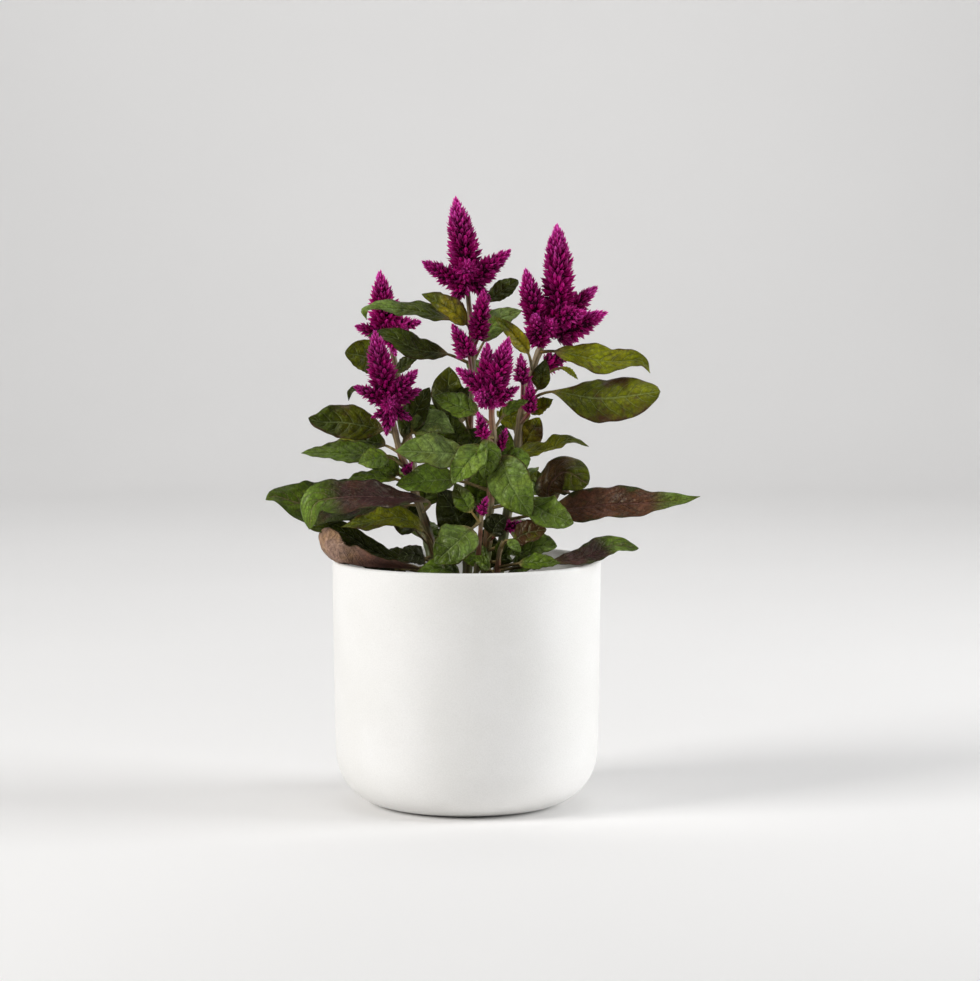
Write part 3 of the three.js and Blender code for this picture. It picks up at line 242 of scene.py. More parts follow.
# Each bronze leaf: the stem that carries it, and the leaf.
BRONZE_LEAVES = {
    "left_long": ("d", leaf(158, 28, (-0.05, -0.75, 0.66), ("bronze", "mid", 0.5),
         [(-29, -14, 158), (-50, -16, 158), (-70, -22, 159), (-86, -26, 160), (-99, -28, 164), (-103, -28, 162)],
         0.6, widest=0.6, turn=0.62)),
    "left_bent": ("d", leaf(154, 20, (0, -0.6, 0.8), ("bronze", "fresh", 0.2),
         [(-19, -30, 161), (-41, -47, 165), (-61, -57, 166), (-76, -61, 163), (-79, -61, 150)], 0.5,
         tip_face=(-0.6, -0.8, 0.2), widest=0.7, turn=0.72)),
    "left_rim": ("d", leaf(122, 21, (0, -0.1, 1), ("rust", "pinkish", 0.1),
         [(-24, -30, 127), (-41, -30, 128), (-57, -28, 129), (-68, -29, 133), (-72, -30, 139), (-70, -30, 148)],
         0.3, tip_face=(0.6, 0.75, 0.1), cup=0.45, widest=0.8, shoulder=0.55, turn=0.5)),
    "right_dome": ("b", leaf(152, 22, (-0.1, -0.85, 0.5), ("umber", "olive", 0.3),
         [(42, -2, 157), (43, -6, 167), (51, -12, 175), (63, -16, 169)], 0.4, cup=-0.25, widest=0.55, turn=0.66)),
    "right_long": ("b", leaf(147, 21, (0, -0.8, 0.6), ("rust", "pale", 0.3),
         [(44, -8, 154), (69, -16, 158), (92, -24, 160), (111, -28, 162), (120, -30, 164)], 0.8, widest=0.33,
         shoulder=0.55, turn=0.76)),
    "right_rim": ("e", leaf(123, 14, (0, -0.65, 0.76), ("bronze", "fresh", 0.3),
         [(43, -40, 131), (61, -32, 133), (75, -24, 138), (89, -18, 136)], 0.5, widest=0.6, turn=0.6)),
}

# Each head: (root, tip, radius) of the main plume, then of its side plumes.
HEADS = {
    "a": [
        ((1, 10, 275), (-6, 8, 318), 8.3), ((-5, 8, 273), (-24, 2, 284), 6.0), ((5, 8, 275), (24, 4, 290), 6.7),
        ((0, 8, 277), (1, -12, 283), 6.5), ((0, 8, 274), (-9, 4, 259), 6.0), ((2, 9, 274), (13, 9, 262), 5.6),
        ((0, 14, 278), (4, 34, 284), 5.6),
    ],
    "b": [
        ((48, 4, 254), (47, 2, 304), 8.5), ((37, 2, 251), (30, -4, 281), 7.1), ((41, 4, 248), (29, 10, 269), 5.7),
        ((49, 6, 254), (69, 8, 271), 6.4), ((46, 0, 254), (63, -12, 258), 7.0), ((48, 4, 245), (74, -2, 258), 7.6),
        ((37, 0, 242), (35, -14, 258), 7.6), ((42, 0, 248), (44, -18, 253), 6.6),
        ((45, 12, 252), (50, 32, 262), 6.0),
    ],
    "c": [
        ((-43, 36, 249), (-46, 34, 279), 8.7), ((-44, 36, 244), (-60, 30, 249), 6.2),
        ((-41, 36, 248), (-23, 28, 251), 6.4), ((-41, 38, 245), (-26, 38, 242), 5.4),
        ((-42, 34, 246), (-37, 30, 232), 5.4), ((-40, 34, 246), (-31, 18, 249), 5.6),
        ((-43, 40, 248), (-42, 58, 255), 5.5),
    ],
    "d": [
        ((-41, -27, 214), (-47, -30, 250), 7.4), ((-43, -28, 214), (-58, -34, 221), 5.2),
        ((-38, -28, 215), (-24, -32, 230), 5.8), ((-38, -28, 213), (-22, -24, 219), 5.4),
        ((-39, -28, 211), (-38, -46, 213), 5.6), ((-39, -28, 209), (-49, -32, 204), 5.2),
        ((-39, -27, 209), (-27, -29, 203), 5.6), ((-39, -27, 212), (-37, -30, 199), 5.4),
        ((-41, -22, 214), (-43, -6, 219), 5.5), ((-40, -27, 208), (-41, -27, 194), 5.6),
    ],
    "e": [
        ((13, -33, 214), (22, -35, 247), 6.6), ((10, -32, 220), (11, -30, 244), 4.6),
        ((10, -33, 218), (-6, -36, 231), 5.6), ((11, -34, 215), (5, -50, 217), 7.0),
        ((16, -33, 214), (28, -34, 221), 5.9), ((13, -34, 213), (16, -46, 212), 4.6),
        ((13, -28, 216), (14, -12, 223), 5.2),
    ],
}

# Small blooms: (stem, height on it, root, tip, radius).
SMALL_BLOOMS = [
    ("a", 224, (1, 2, 235), (-8, 1, 252), 6.4),
    ("a", 236, (6, 5, 244), (9, -3, 270), 5.8),
    ("b", 227, (43, 10, 230), (56, 14, 235), 7.4),
    ("b", 205, (29, -4, 222), (28, -6, 237), 5.2),
    ("b", 198, (33, -2, 206), (33, -4, 223), 3.9),
    ("e", 191, (9, -38, 196), (6, -41, 209), 4),
    ("e", 185, (17, -28, 188), (21, -30, 200), 2.8),
    ("e", 140, (21, -30, 148), (31, -31, 151), 3.6),
    ("d", 172, (-31, -27, 177), (-27, -27, 182), 2.6),
    ("g", 155, (8, -42, 157), (11, -44, 166), 3.0),
]


# ---- numbers ----
def linear(rgb):
    """8-bit display colour to linear light: a power of 2.4 above the short straight foot."""
    c = np.asarray(rgb, float) / 255
    return np.where(c <= 0.04045, c / 12.92, ((c + 0.055) / 1.055) ** 2.4)


def smoothstep(low, high, x):
    """0 below low, 1 above high, and 3s^2 - 2s^3 between them."""
    s = np.clip((x - low) / (high - low), 0, 1)
    return s * s * (3 - 2 * s)


def mix(first, second, share):
    """Part of the way, by the share, from the first to the second."""
    return first + (second - first) * share


def turns(count):
    """As many even angles round a whole turn."""
    return np.linspace(0, 2 * math.pi, count, endpoint=False)


def unit(v):
    return v / np.maximum(np.linalg.norm(v, axis=-1, keepdims=True), 1e-9)


def smooth_path(points):
    """Centripetal Catmull-Rom curve: between two points it is a cubic whose end slopes come from the
    neighbours, each gap weighted by the square root of its length. The ends are carried on straight."""
    p = np.asarray(points, float)
    p = np.vstack([2 * p[0] - p[1], p, 2 * p[-1] - p[-2]])
    gap = np.sqrt(np.maximum(np.linalg.norm(np.diff(p, axis=0), axis=1), 1e-6))[:, None]
    x0, x1, x2, x3 = p[:-3], p[1:-2], p[2:-1], p[3:]
    d0, d1, d2 = gap[:-2], gap[1:-1], gap[2:]
    m1 = ((x1 - x0) / d0 - (x2 - x0) / (d0 + d1) + (x2 - x1) / d1) * d1
    m2 = ((x2 - x1) / d1 - (x3 - x1) / (d1 + d2) + (x3 - x2) / d2) * d1
    s = np.linspace(0, 1, PATH_STEPS)[None, :, None]
    a, b = (2 * x1 - 2 * x2 + m1 + m2)[:, None], (-3 * x1 + 3 * x2 - 2 * m1 - m2)[:, None]
    curve = x1[:, None] + m1[:, None] * s + b * s**2 + a * s**3
    return np.vstack([curve[:, :-1].reshape(-1, 3), curve[-1, -1:]])


def along_path(path, shares):
    """Points and unit directions at the given shares of a path's length."""
    reach = np.concatenate([[0], np.cumsum(np.linalg.norm(np.diff(path, axis=0), axis=1))])
    slopes = np.gradient(path, np.maximum(reach, np.arange(len(reach)) * 1e-7), axis=0)
    at = np.asarray(shares) * reach[-1]
    points = np.stack([np.interp(at, reach, path[:, k]) for k in range(3)], axis=1)
    ways = np.stack([np.interp(at, reach, slopes[:, k]) for k in range(3)], axis=1)
    return points, unit(ways)


def path_length(path):
    return np.linalg.norm(np.diff(path, axis=0), axis=1).sum()


# ---- meshes: parts are joined into one piece ----
def grid_part(points, uv=None, tint=None, dress=None):
    """A closed skin over rings of points, (rows, around, 3), with a pole in the middle of each end ring."""
    rows, around = points.shape[:2]
    index = np.arange(rows * around).reshape(rows, around)
    turn = np.roll(index, -1, axis=1)
    quads = np.stack([index[:-1], turn[:-1], turn[1:], index[1:]], axis=-1).reshape(-1, 4)
    start, end = rows * around, rows * around + 1
    first = np.stack([turn[0], index[0], np.full(around, start)], axis=-1)
    last = np.stack([index[-1], turn[-1], np.full(around, end)], axis=-1)

    def with_poles(values, width):
        if values is None:
            return np.zeros((rows * around + 2, width))
        values = np.broadcast_to(values, (rows, around, width))
        return np.vstack([values.reshape(-1, width), values[0].mean(0), values[-1].mean(0)])

    return {
        "points": with_poles(points, 3), "quads": quads, "triangles": np.vstack([first, last]),
        "uv": with_poles(uv, 2), "tint": with_poles(tint, 3), "dress": with_poles(dress, 3),
    }


def scattered_part(points, faces, tint=None):
    """Many copies of one small shape, (count, corners, 3), each with the same triangles."""
    count, corners = points.shape[:2]
    blank = np.zeros((count * corners, 3))
    return {
        "points": points.reshape(-1, 3), "quads": np.zeros((0, 4), int),
        "triangles": (faces[None] + np.arange(count)[:, None, None] * corners).reshape(-1, 3),
        "uv": blank[:, :2], "tint": blank if tint is None else tint.reshape(-1, 3), "dress": blank,
    }


def joined(parts):
    """Several parts as one, each numbered on from the last."""
    starts = np.cumsum([0] + [len(part["points"]) for part in parts])
    whole = {key: np.vstack([part[key] for part in parts]) for key in ("points", "uv", "tint", "dress")}
    for key in ("quads", "triangles"):
        whole[key] = np.vstack([part[key] + start for part, start in zip(parts, starts)])
    return whole


def placed(name, data):
    """An object for the data, in the scene."""
    made = bpy.data.objects.new(name, data)
    bpy.context.scene.collection.objects.link(made)
    return made


def make_piece(name, part, materials, nodes, smooth=True):
    """A mesh object from a part, riding on the root body and standing for the given CAD nodes."""
    quads, triangles = part["quads"].astype(np.int32), part["triangles"].astype(np.int32)
    loops = np.concatenate([quads.ravel(), triangles.ravel()])
    totals = np.concatenate([np.full(len(quads), 4), np.full(len(triangles), 3)]).astype(np.int32)
    starts = np.concatenate([[0], np.cumsum(totals)[:-1]]).astype(np.int32)
    mesh = bpy.data.meshes.new(name)
    mesh.vertices.add(len(part["points"]))
    mesh.vertices.foreach_set("co", (part["points"] * MM).astype(np.float32).ravel())
    mesh.loops.add(len(loops))
    mesh.loops.foreach_set("vertex_index", loops)
    mesh.polygons.add(len(totals))
    mesh.polygons.foreach_set("loop_start", starts)
    mesh.polygons.foreach_set("loop_total", totals)
    mesh.update(calc_edges=True)
    mesh.validate()
    mesh.uv_layers.new(name="blade")
    mesh.uv_layers["blade"].data.foreach_set("uv", part["uv"][loops].astype(np.float32).ravel())
    for key in ("tint", "dress"):
        layer = mesh.attributes.new(key, "FLOAT_COLOR", "POINT")
        rgba = np.hstack([part[key], np.ones((len(part[key]), 1))])
        layer.data.foreach_set("color", rgba.astype(np.float32).ravel())
    mesh.polygons.foreach_set("use_smooth", np.full(len(totals), smooth))
    for material in materials:
        mesh.materials.append(material)
    obj = placed(name, mesh)
    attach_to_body(obj, "root")
    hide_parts(*nodes)
    return obj


# ---- material nodes ----
class Finish:
    """A node material built up step by step around one Principled shader."""

    def __init__(self, name, **sockets):
        self.material = bpy.data.materials.new(name)
        self.material.use_nodes = True
        self.tree = self.material.node_tree
        self.shader = self.tree.nodes["Principled BSDF"]
        for socket, value in sockets.items():
            self.shader.inputs[socket.replace("_", " ")].default_value = value
        self.object_point = self.node("TexCoord").outputs["Object"]

    def node(self, kind, inputs=None, **settings):
        made = self.tree.nodes.new("ShaderNode" + kind)
        for key, value in settings.items():
            setattr(made, key, value)
        for key, value in (inputs or {}).items():
            self.feed(made.inputs[key], value)
        return made

    def feed(self, socket, value):
        if isinstance(value, bpy.types.NodeSocket):
            self.tree.links.new(value, socket)
        else:
            socket.default_value = value

    def maths(self, operation, *values):
        return self.node("Math", dict(enumerate(values)), operation=operation).outputs[0]

    def plus(self, first, second):
        return self.maths("ADD", first, second)

    def minus(self, first, second):
        return self.maths("SUBTRACT", first, second)

    def times(self, first, second):
        return self.maths("MULTIPLY", first, second)

    def ramp(self, value, low, high, to_low=0.0, to_high=1.0):
        """A smooth change from to_low to to_high while value goes from low to high."""
        inputs = {"Value": value, "From Min": low, "From Max": high, "To Min": to_low, "To Max": to_high}
        return self.node("MapRange", inputs, interpolation_type="SMOOTHSTEP").outputs["Result"]

    def noise(self, scale, detail=3.0, roughness=0.5):
        inputs = {"Vector": self.object_point, "Scale": scale, "Detail": detail, "Roughness": roughness}
        return self.node("TexNoise", inputs).outputs["Fac"]

    def cells(self, scale, feature="DISTANCE_TO_EDGE"):
        inputs = {"Vector": self.object_point, "Scale": scale}
        return self.node("TexVoronoi", inputs, feature=feature).outputs["Distance"]

    def blend(self, share, first, second, kind="MIX"):
        made = self.node("Mix", data_type="RGBA", blend_type=kind)
        for key, value in ((0, share), (6, first), (7, second)):
            self.feed(made.inputs[key], value)
        return made.outputs[2]

    def brighten(self, colour, factor):
        """The colour times a grey factor."""
        grey = self.node("CombineColor", {0: factor, 1: factor, 2: factor}).outputs[0]
        return self.blend(1.0, colour, grey, "MULTIPLY")

    def mottle(self, colour, noise, dark, bright):
        """The colour times a factor that goes from dark to bright over the span that noise keeps to."""
        return self.brighten(colour, self.ramp(noise, 0.3, 0.7, dark, bright))

    def attribute(self, name):
        return self.node("Attribute", attribute_name=name).outputs["Color"]

    def parts_of(self, colour):
        return self.node("SeparateColor", {0: colour}).outputs

    def finish(self, colour, roughness, height, depth, strength=1.0):
        bump = self.node("Bump", {"Height": height, "Distance": depth, "Strength": strength}).outputs[0]
        for socket, value in (("Base Color", colour), ("Roughness", roughness), ("Normal", bump)):
            self.feed(self.shader.inputs[socket], value)
        return self.material


def rgba(rgb):
    return (*linear(rgb), 1.0)


def leaf_finish(name, vein, blotch, worn, vein_share):
    """Leaf blade: its own tint, a midrib and side veins of the vein colour, painted shade next to the veins
    and painted light on the swells between them, a fine net of cells darkened as painted shade, blotches
    that gather towards the margin, and a worn colour on the underside. UV holds the place across the
    blade and the count of side veins."""
    f = Finish(
        name, Specular_IOR_Level=0.26, Specular_Tint=(1.0, 1.0, 0.6, 1.0), Coat_Weight=0.08, Coat_Roughness=0.22
    )
    tint = f.attribute("tint")
    under, blotched, plain = f.parts_of(f.attribute("dress"))[:3]
    place = f.node("SeparateXYZ", {0: f.node("UVMap", uv_map="blade").outputs[0]}).outputs
    across = f.maths("ABSOLUTE", f.minus(f.times(place[0], 2.0), 1.0))
    wobble = f.times(f.minus(f.noise(170, 3), 0.5), 0.5)
    count = f.maths("FRACT", f.plus(place[1], f.plus(wobble, 0.5)))
    off_vein = f.maths("ABSOLUTE", f.minus(count, 0.5))
    side_vein = f.times(f.ramp(off_vein, 0.01, 0.075, 1, 0), f.ramp(across, 0.3, 0.95, 0.9, 0.0))
    midrib = f.ramp(across, 0.02, 0.085, 1, 0)
    veins = f.times(f.maths("MAXIMUM", side_vein, midrib), f.minus(1.0, plain))
    net = f.ramp(f.cells(480), 0.0, 0.14, 1, 0)
    broad, fine = f.noise(75, 3), f.noise(420, 4, 0.6)
    colour = f.mottle(tint, broad, 0.58, 1.38)
    colour = f.mottle(colour, fine, 0.68, 1.3)
    # Painted shade next to the side veins and painted light on the swells between them.
    colour = f.brighten(colour, f.ramp(off_vein, 0.03, 0.3, 0.88, 1.08))
    yellow = f.blend(1.0, colour, rgba((255, 236, 120)), "MULTIPLY")
    colour = f.blend(f.ramp(f.noise(95, 2), 0.42, 0.7, 0, 0.5), colour, yellow)
    patch = f.plus(f.noise(120, 4, 0.6), f.times(f.maths("POWER", across, 3.0), 0.2))
    patch = f.ramp(f.minus(patch, f.minus(1.0, f.times(blotched, 0.9))), -0.16, 0.06, 0, 0.9)
    colour = f.blend(patch, colour, rgba(blotch))
    margin = f.times(f.ramp(across, 0.9, 0.99), f.ramp(f.noise(60, 2), 0.35, 0.6, 0.1, 0.7))
    colour = f.blend(margin, colour, rgba(blotch))
    pale = f.blend(0.42, f.brighten(colour, 1.5), rgba(vein))
    colour = f.blend(f.times(veins, vein_share), colour, pale)
    # Painted shade along the lines of the fine net, where the relief sinks.
    net_painted_shade = f.brighten(colour, 0.7)
    colour = f.blend(f.times(net, 0.6), colour, net_painted_shade)
    dull = f.blend(0.45, colour, rgba(worn))
    colour = f.blend(f.times(under, 0.5), colour, dull)
    roughness = f.plus(f.ramp(broad, 0.3, 0.7, 0.36, 0.5), f.times(under, 0.16))
    relief = f.minus(f.times(fine, 0.5), f.times(veins, 0.7))
    relief = f.minus(relief, f.times(net, 0.45))
    return f.finish(colour, roughness, relief, 0.0006, 0.85)


def stem_finish():
    """Stem and stalk skin: tint running up the stem, pale and dark long ribs, small dull patches."""
    f = Finish("stem_skin", Specular_IOR_Level=0.5)
    ribs = f.parts_of(f.attribute("dress"))[1]
    colour = f.brighten(f.attribute("tint"), f.ramp(ribs, 0.2, 0.8, 0.72, 1.15))
    colour = f.mottle(colour, f.noise(300, 4), 0.85, 1.12)
    red = f.blend(1.0, colour, rgba((255, 170, 165)), "MULTIPLY")
    colour = f.blend(f.ramp(f.noise(70, 2), 0.45, 0.65, 0, 0.8), colour, red)
    return f.finish(colour, f.ramp(f.noise(500, 2), 0.3, 0.7, 0.4, 0.55), f.noise(900, 3), 0.0002, 0.5)


def floret_finish():
    """Papery tepals, from the tint: painted shade at the base, magenta on the body, and pink at the point,
    partly a painted highlight, with fine streaks of lighter and darker paper."""
    f = Finish("papery_tepals", Specular_IOR_Level=0.4, Specular_Tint=(1.0, 0.3, 0.8, 1.0))
    tint = f.attribute("tint")
    streak = f.noise(1400, 3, 0.6)
    colour = f.mottle(tint, streak, 0.75, 1.25)
    colour = f.mottle(colour, f.noise(160, 2), 0.88, 1.12)
    shaded = f.ramp(f.parts_of(tint)[0], 0.05, 0.25, 0.5, 0.0)
    return f.finish(colour, f.plus(f.ramp(streak, 0.3, 0.7, 0.3, 0.46), shaded), streak, 0.00025, 0.6)


def ceramic_finish():
    """Matt white ceramic: a fine grain in the surface, cloudy changes of white and sparse dark specks."""
    f = Finish("matt_white_ceramic", Specular_IOR_Level=0.45)
    grain = f.noise(1500, 3, 0.6)
    cloud = f.noise(22, 3)
    colour = f.blend(f.ramp(cloud, 0.3, 0.7), rgba((237, 236, 233)), rgba((242, 241, 239)))
    speck = f.ramp(f.cells(420, "F1"), 0.05, 0.10, 1, 0)
    chosen = f.ramp(f.noise(130, 1), 0.62, 0.66)
    speck = f.times(f.times(speck, chosen), 0.35)
    colour = f.blend(speck, colour, rgba((150, 140, 128)))
    colour = f.mottle(colour, grain, 0.965, 1.02)
    pits = f.minus(f.times(grain, 0.7), f.times(speck, 0.6))
    return f.finish(colour, f.ramp(cloud, 0.3, 0.7, 0.55, 0.66), pits, 0.00018, 0.6)


def soil_finish():
    """Damp potting soil: dark brown crumbs, lighter fibres and a few pale grains."""
    f = Finish("potting_soil", Specular_IOR_Level=0.25)
    crumb = f.cells(300, "F1")
    colour = f.blend(f.ramp(f.noise(180, 5, 0.7), 0.3, 0.7), rgba((24, 17, 12)), rgba((74, 54, 38)))
    pale = f.times(f.ramp(f.cells(240, "F1"), 0.10, 0.16, 1, 0), f.ramp(f.noise(90, 1), 0.55, 0.6))
    colour = f.blend(f.times(pale, 0.6), colour, rgba((150, 130, 104)))
    return f.finish(colour, f.ramp(crumb, 0.1, 0.6, 0.95, 0.8), f.plus(crumb, f.noise(700, 4)), 0.0012, 0.8)


def backdrop_finish():
    """Plain pale paper with the faintest cloud."""
    f = Finish("pale_paper", Specular_IOR_Level=0.1)
    colour = f.blend(f.ramp(f.noise(2, 2), 0.3, 0.7), rgba(BACKDROP), rgba(tuple(c + 2 for c in BACKDROP)))
    return f.finish(colour, 0.9, f.noise(400, 2), 0.0001, 0.1)


# ---- pot and soil ----
def turned_part(profile, around=192):
    """A surface of revolution: each profile point (r, z) becomes (r cos a, r sin a, z)."""
    angle = turns(around)
    r, z = profile[:, :1], profile[:, 1:]
    points = np.stack([r * np.cos(angle), r * np.sin(angle), np.broadcast_to(z, (len(r), around))], axis=-1)
    return grid_part(points)


def pot_part():
    """The pot's wall: a flat underside, a quarter ellipse at the foot, a side that flares by the share
    of its height to the power 0.6, a rounded rim, and the same shape inside, a wall's width in."""
    foot = np.linspace(0, math.pi / 2, 28)
    outer = [[POT_BODY_RADIUS - POT_FOOT_WIDTH * (1 - np.sin(a)), POT_FOOT_HEIGHT * (1 - np.cos(a))] for a in foot]
    share = np.linspace(0, 1, 30)[1:]
    top = POT_HEIGHT - POT_LIP
    flare = POT_RIM_FLARE * share**0.6
    side = np.stack([POT_BODY_RADIUS + flare, POT_FOOT_HEIGHT + share * (top - POT_FOOT_HEIGHT)], 1)
    rim = POT_BODY_RADIUS + POT_RIM_FLARE
    bend = np.linspace(0, math.pi, 14)[1:]
    lip = np.stack([rim - POT_WALL / 2 + POT_WALL / 2 * np.cos(bend), top + POT_LIP * np.sin(bend)], 1)
    bore = POT_BODY_RADIUS - POT_WALL
    inner = [[rim - POT_WALL, 120.0], [bore + 0.8, 108.0], [bore, 70.0], [bore, 30.0]]
    floor = [[57.0, 13.0], [36.0, 5.0], [12.0, 5.0]]
    under = [[12.0, 0.0], [30.0, 0.0]]
    return turned_part(np.vstack([under, outer, side, lip, inner, floor]))


def soil_height(x, y):
    """Mean level plus two crossed waves, the same lumps as the solid has."""
    return (
        SOIL_LEVEL
        + 1.6 * np.sin(x * 0.19 + 1.3) * np.cos(y * 0.17 - 0.4)
        + 1.1 * np.sin(x * 0.41 - y * 0.33)
    )


def soil_part():
    """A disc of soil on a polar grid: the lumpy level plus finer crossed waves for the crumbs, falling
    to the wall, closed by a skirt and a flat underside."""
    angle = turns(240)
    r = np.linspace(0.6, SOIL_RADIUS, 84)[:, None]
    x, y = r * np.cos(angle), r * np.sin(angle)
    crumbs = np.zeros_like(x)
    chance = np.random.default_rng(7)
    for size in (0.9, 1.3, 1.9, 2.7):
        for _ in range(5):
            way, start = chance.uniform(0, 2 * math.pi, 2)
            crumbs += 0.11 * np.sin((x * np.cos(way) + y * np.sin(way)) * size * 1.15 + start) / size**0.4
    z = soil_height(x, y) + crumbs * np.clip((SOIL_RADIUS - r) / 3, 0, 1)
    top = np.stack([x, y, z], axis=-1)[::-1]
    skirt = np.stack([x[-1:], y[-1:], np.full_like(x[-1:], SOIL_UNDERSIDE)], axis=-1)
    floor = skirt * np.array([0.02, 0.02, 1.0])
    return grid_part(np.vstack([floor, skirt, top]))


def crumb_parts():
    """Loose crumbs: eight-sided lumps with uneven radii, half sunk at seeded places."""
    chance = np.random.default_rng(11)
    r = CRUMB_REACH * np.sqrt(chance.uniform(0.02, 1, CRUMBS))
    a = chance.uniform(0, 2 * math.pi, CRUMBS)
    size = chance.uniform(0.5, 1.7, CRUMBS)
    x, y = r * np.cos(a), r * np.sin(a)
    centre = np.stack([x, y, soil_height(x, y) + size * 0.25], axis=-1)
    ball = np.array([(1, 0, 0), (0, 1, 0), (-1, 0, 0), (0, -1, 0), (0, 0, 1), (0, 0, -1)], float)
    faces = np.array([(0, 1, 4), (1, 2, 4), (2, 3, 4), (3, 0, 4), (1, 0, 5), (2, 1, 5), (3, 2, 5), (0, 3, 5)])
    points = centre[:, None] + ball * size[:, None, None] * chance.uniform(0.6, 1.2, (CRUMBS, 6, 1))
    return scattered_part(points, faces)


# ---- stems ----
def tube_part(path, shares, radii, tints, around=16, ribs=0, rib_depth=0.0):
    """A round tube: at each share of the path a ring of radius r (1 + depth cos(ribs a)) stands square
    to it, each ring's side set square to one fixed direction."""
    points, ways = along_path(path, shares)
    side = np.cross(ways, [0.31, 0.9, 0.17])
    side = unit(side - ways * (side * ways).sum(1, keepdims=True))
    other = np.cross(ways, side)
    angle = turns(around)
    wave = np.cos(ribs * angle)
    ring = radii[:, None] * (1 + rib_depth * wave)
    skin = (
        points[:, None]
        + side[:, None] * (ring * np.cos(angle))[..., None]
        + other[:, None] * (ring * np.sin(angle))[..., None]
    )
    dress = np.zeros((len(points), around, 3))
    dress[..., 1] = 0.5 + 0.5 * wave
    dress[..., 2] = 1
    return grid_part(skin, tint=tints[:, None, :] + np.zeros((1, around, 1)), dress=dress)


def stem_path(carrier):
    x, y, _ = carrier["path"][0]
    return smooth_path([(x, y, STEM_ROOT_HEIGHT), *carrier["path"]])


def stem_point(carrier, height):
    """The first point of the stem's path at or above a height."""
    path = stem_path(carrier)
    return path[np.argmax(path[:, 2] >= height)] if path[-1, 2] >= height else path[-1]


def stem_part(carrier):
    """The stem's tube: radius runs from soil to tip, with a ring of swelling at each leaf."""
    path = stem_path(carrier)
    shares = np.linspace(0, 1, 110)
    heights = along_path(path, shares)[0][:, 2]
    share = np.clip((heights - STEM_FOOT_HEIGHT) / (carrier["path"][-1][2] - STEM_FOOT_HEIGHT), 0, 1)
    radii = mix(*carrier["radius"], share)
    joints = np.array([row["at"] for row in carrier["leaves"]])
    radii = radii * (1 + 0.16 * np.exp(-(((heights[:, None] - joints) / 1.8) ** 2)).max(1))
    tints = mix(linear(STEM_LOW), linear(STEM_HIGH), smoothstep(0.1, 0.7, share)[:, None])
    return tube_part(path, shares, radii, tints, around=24, ribs=8, rib_depth=0.05)


def bloom_stalk_part(bloom):
    """The short stalk of a small bloom, from the middle of its stem into the bloom's foot."""
    name, at, root, tip, radius = bloom
    root, tip = np.array(root, float), np.array(tip, float)
    inside = root + (tip - root) * min(0.3, 0.75 / radius)
    path = smooth_path([stem_point(STEMS[name], at), root, inside])
    shares = np.linspace(0, 1, 14)
    tints = mix(linear(STEM_HIGH), linear(STALK_TOP), shares[:, None])
    return tube_part(path, shares, 1.1 - 0.3 * shares, tints, around=10, ribs=5, rib_depth=0.04)


# ---- leaves ----
def half_width(row, t):
    """Half width at t along the blade: a quarter sine to the power of the shoulder over the
    wedge-shaped base, and a quarter sine to a higher power towards the drawn-out tip."""
    widest = row.get("widest", 0.4)
    rise = np.sin(math.pi / 2 * np.clip(t / widest, 0, 1)) ** row.get("shoulder", 0.66)
    fall = np.sin(math.pi / 2 * np.clip((1 - t) / (1 - widest), 0, 1)) ** (1.3 * row["taper"])
    return row["width"] / 2 * np.where(t < widest, rise, fall)


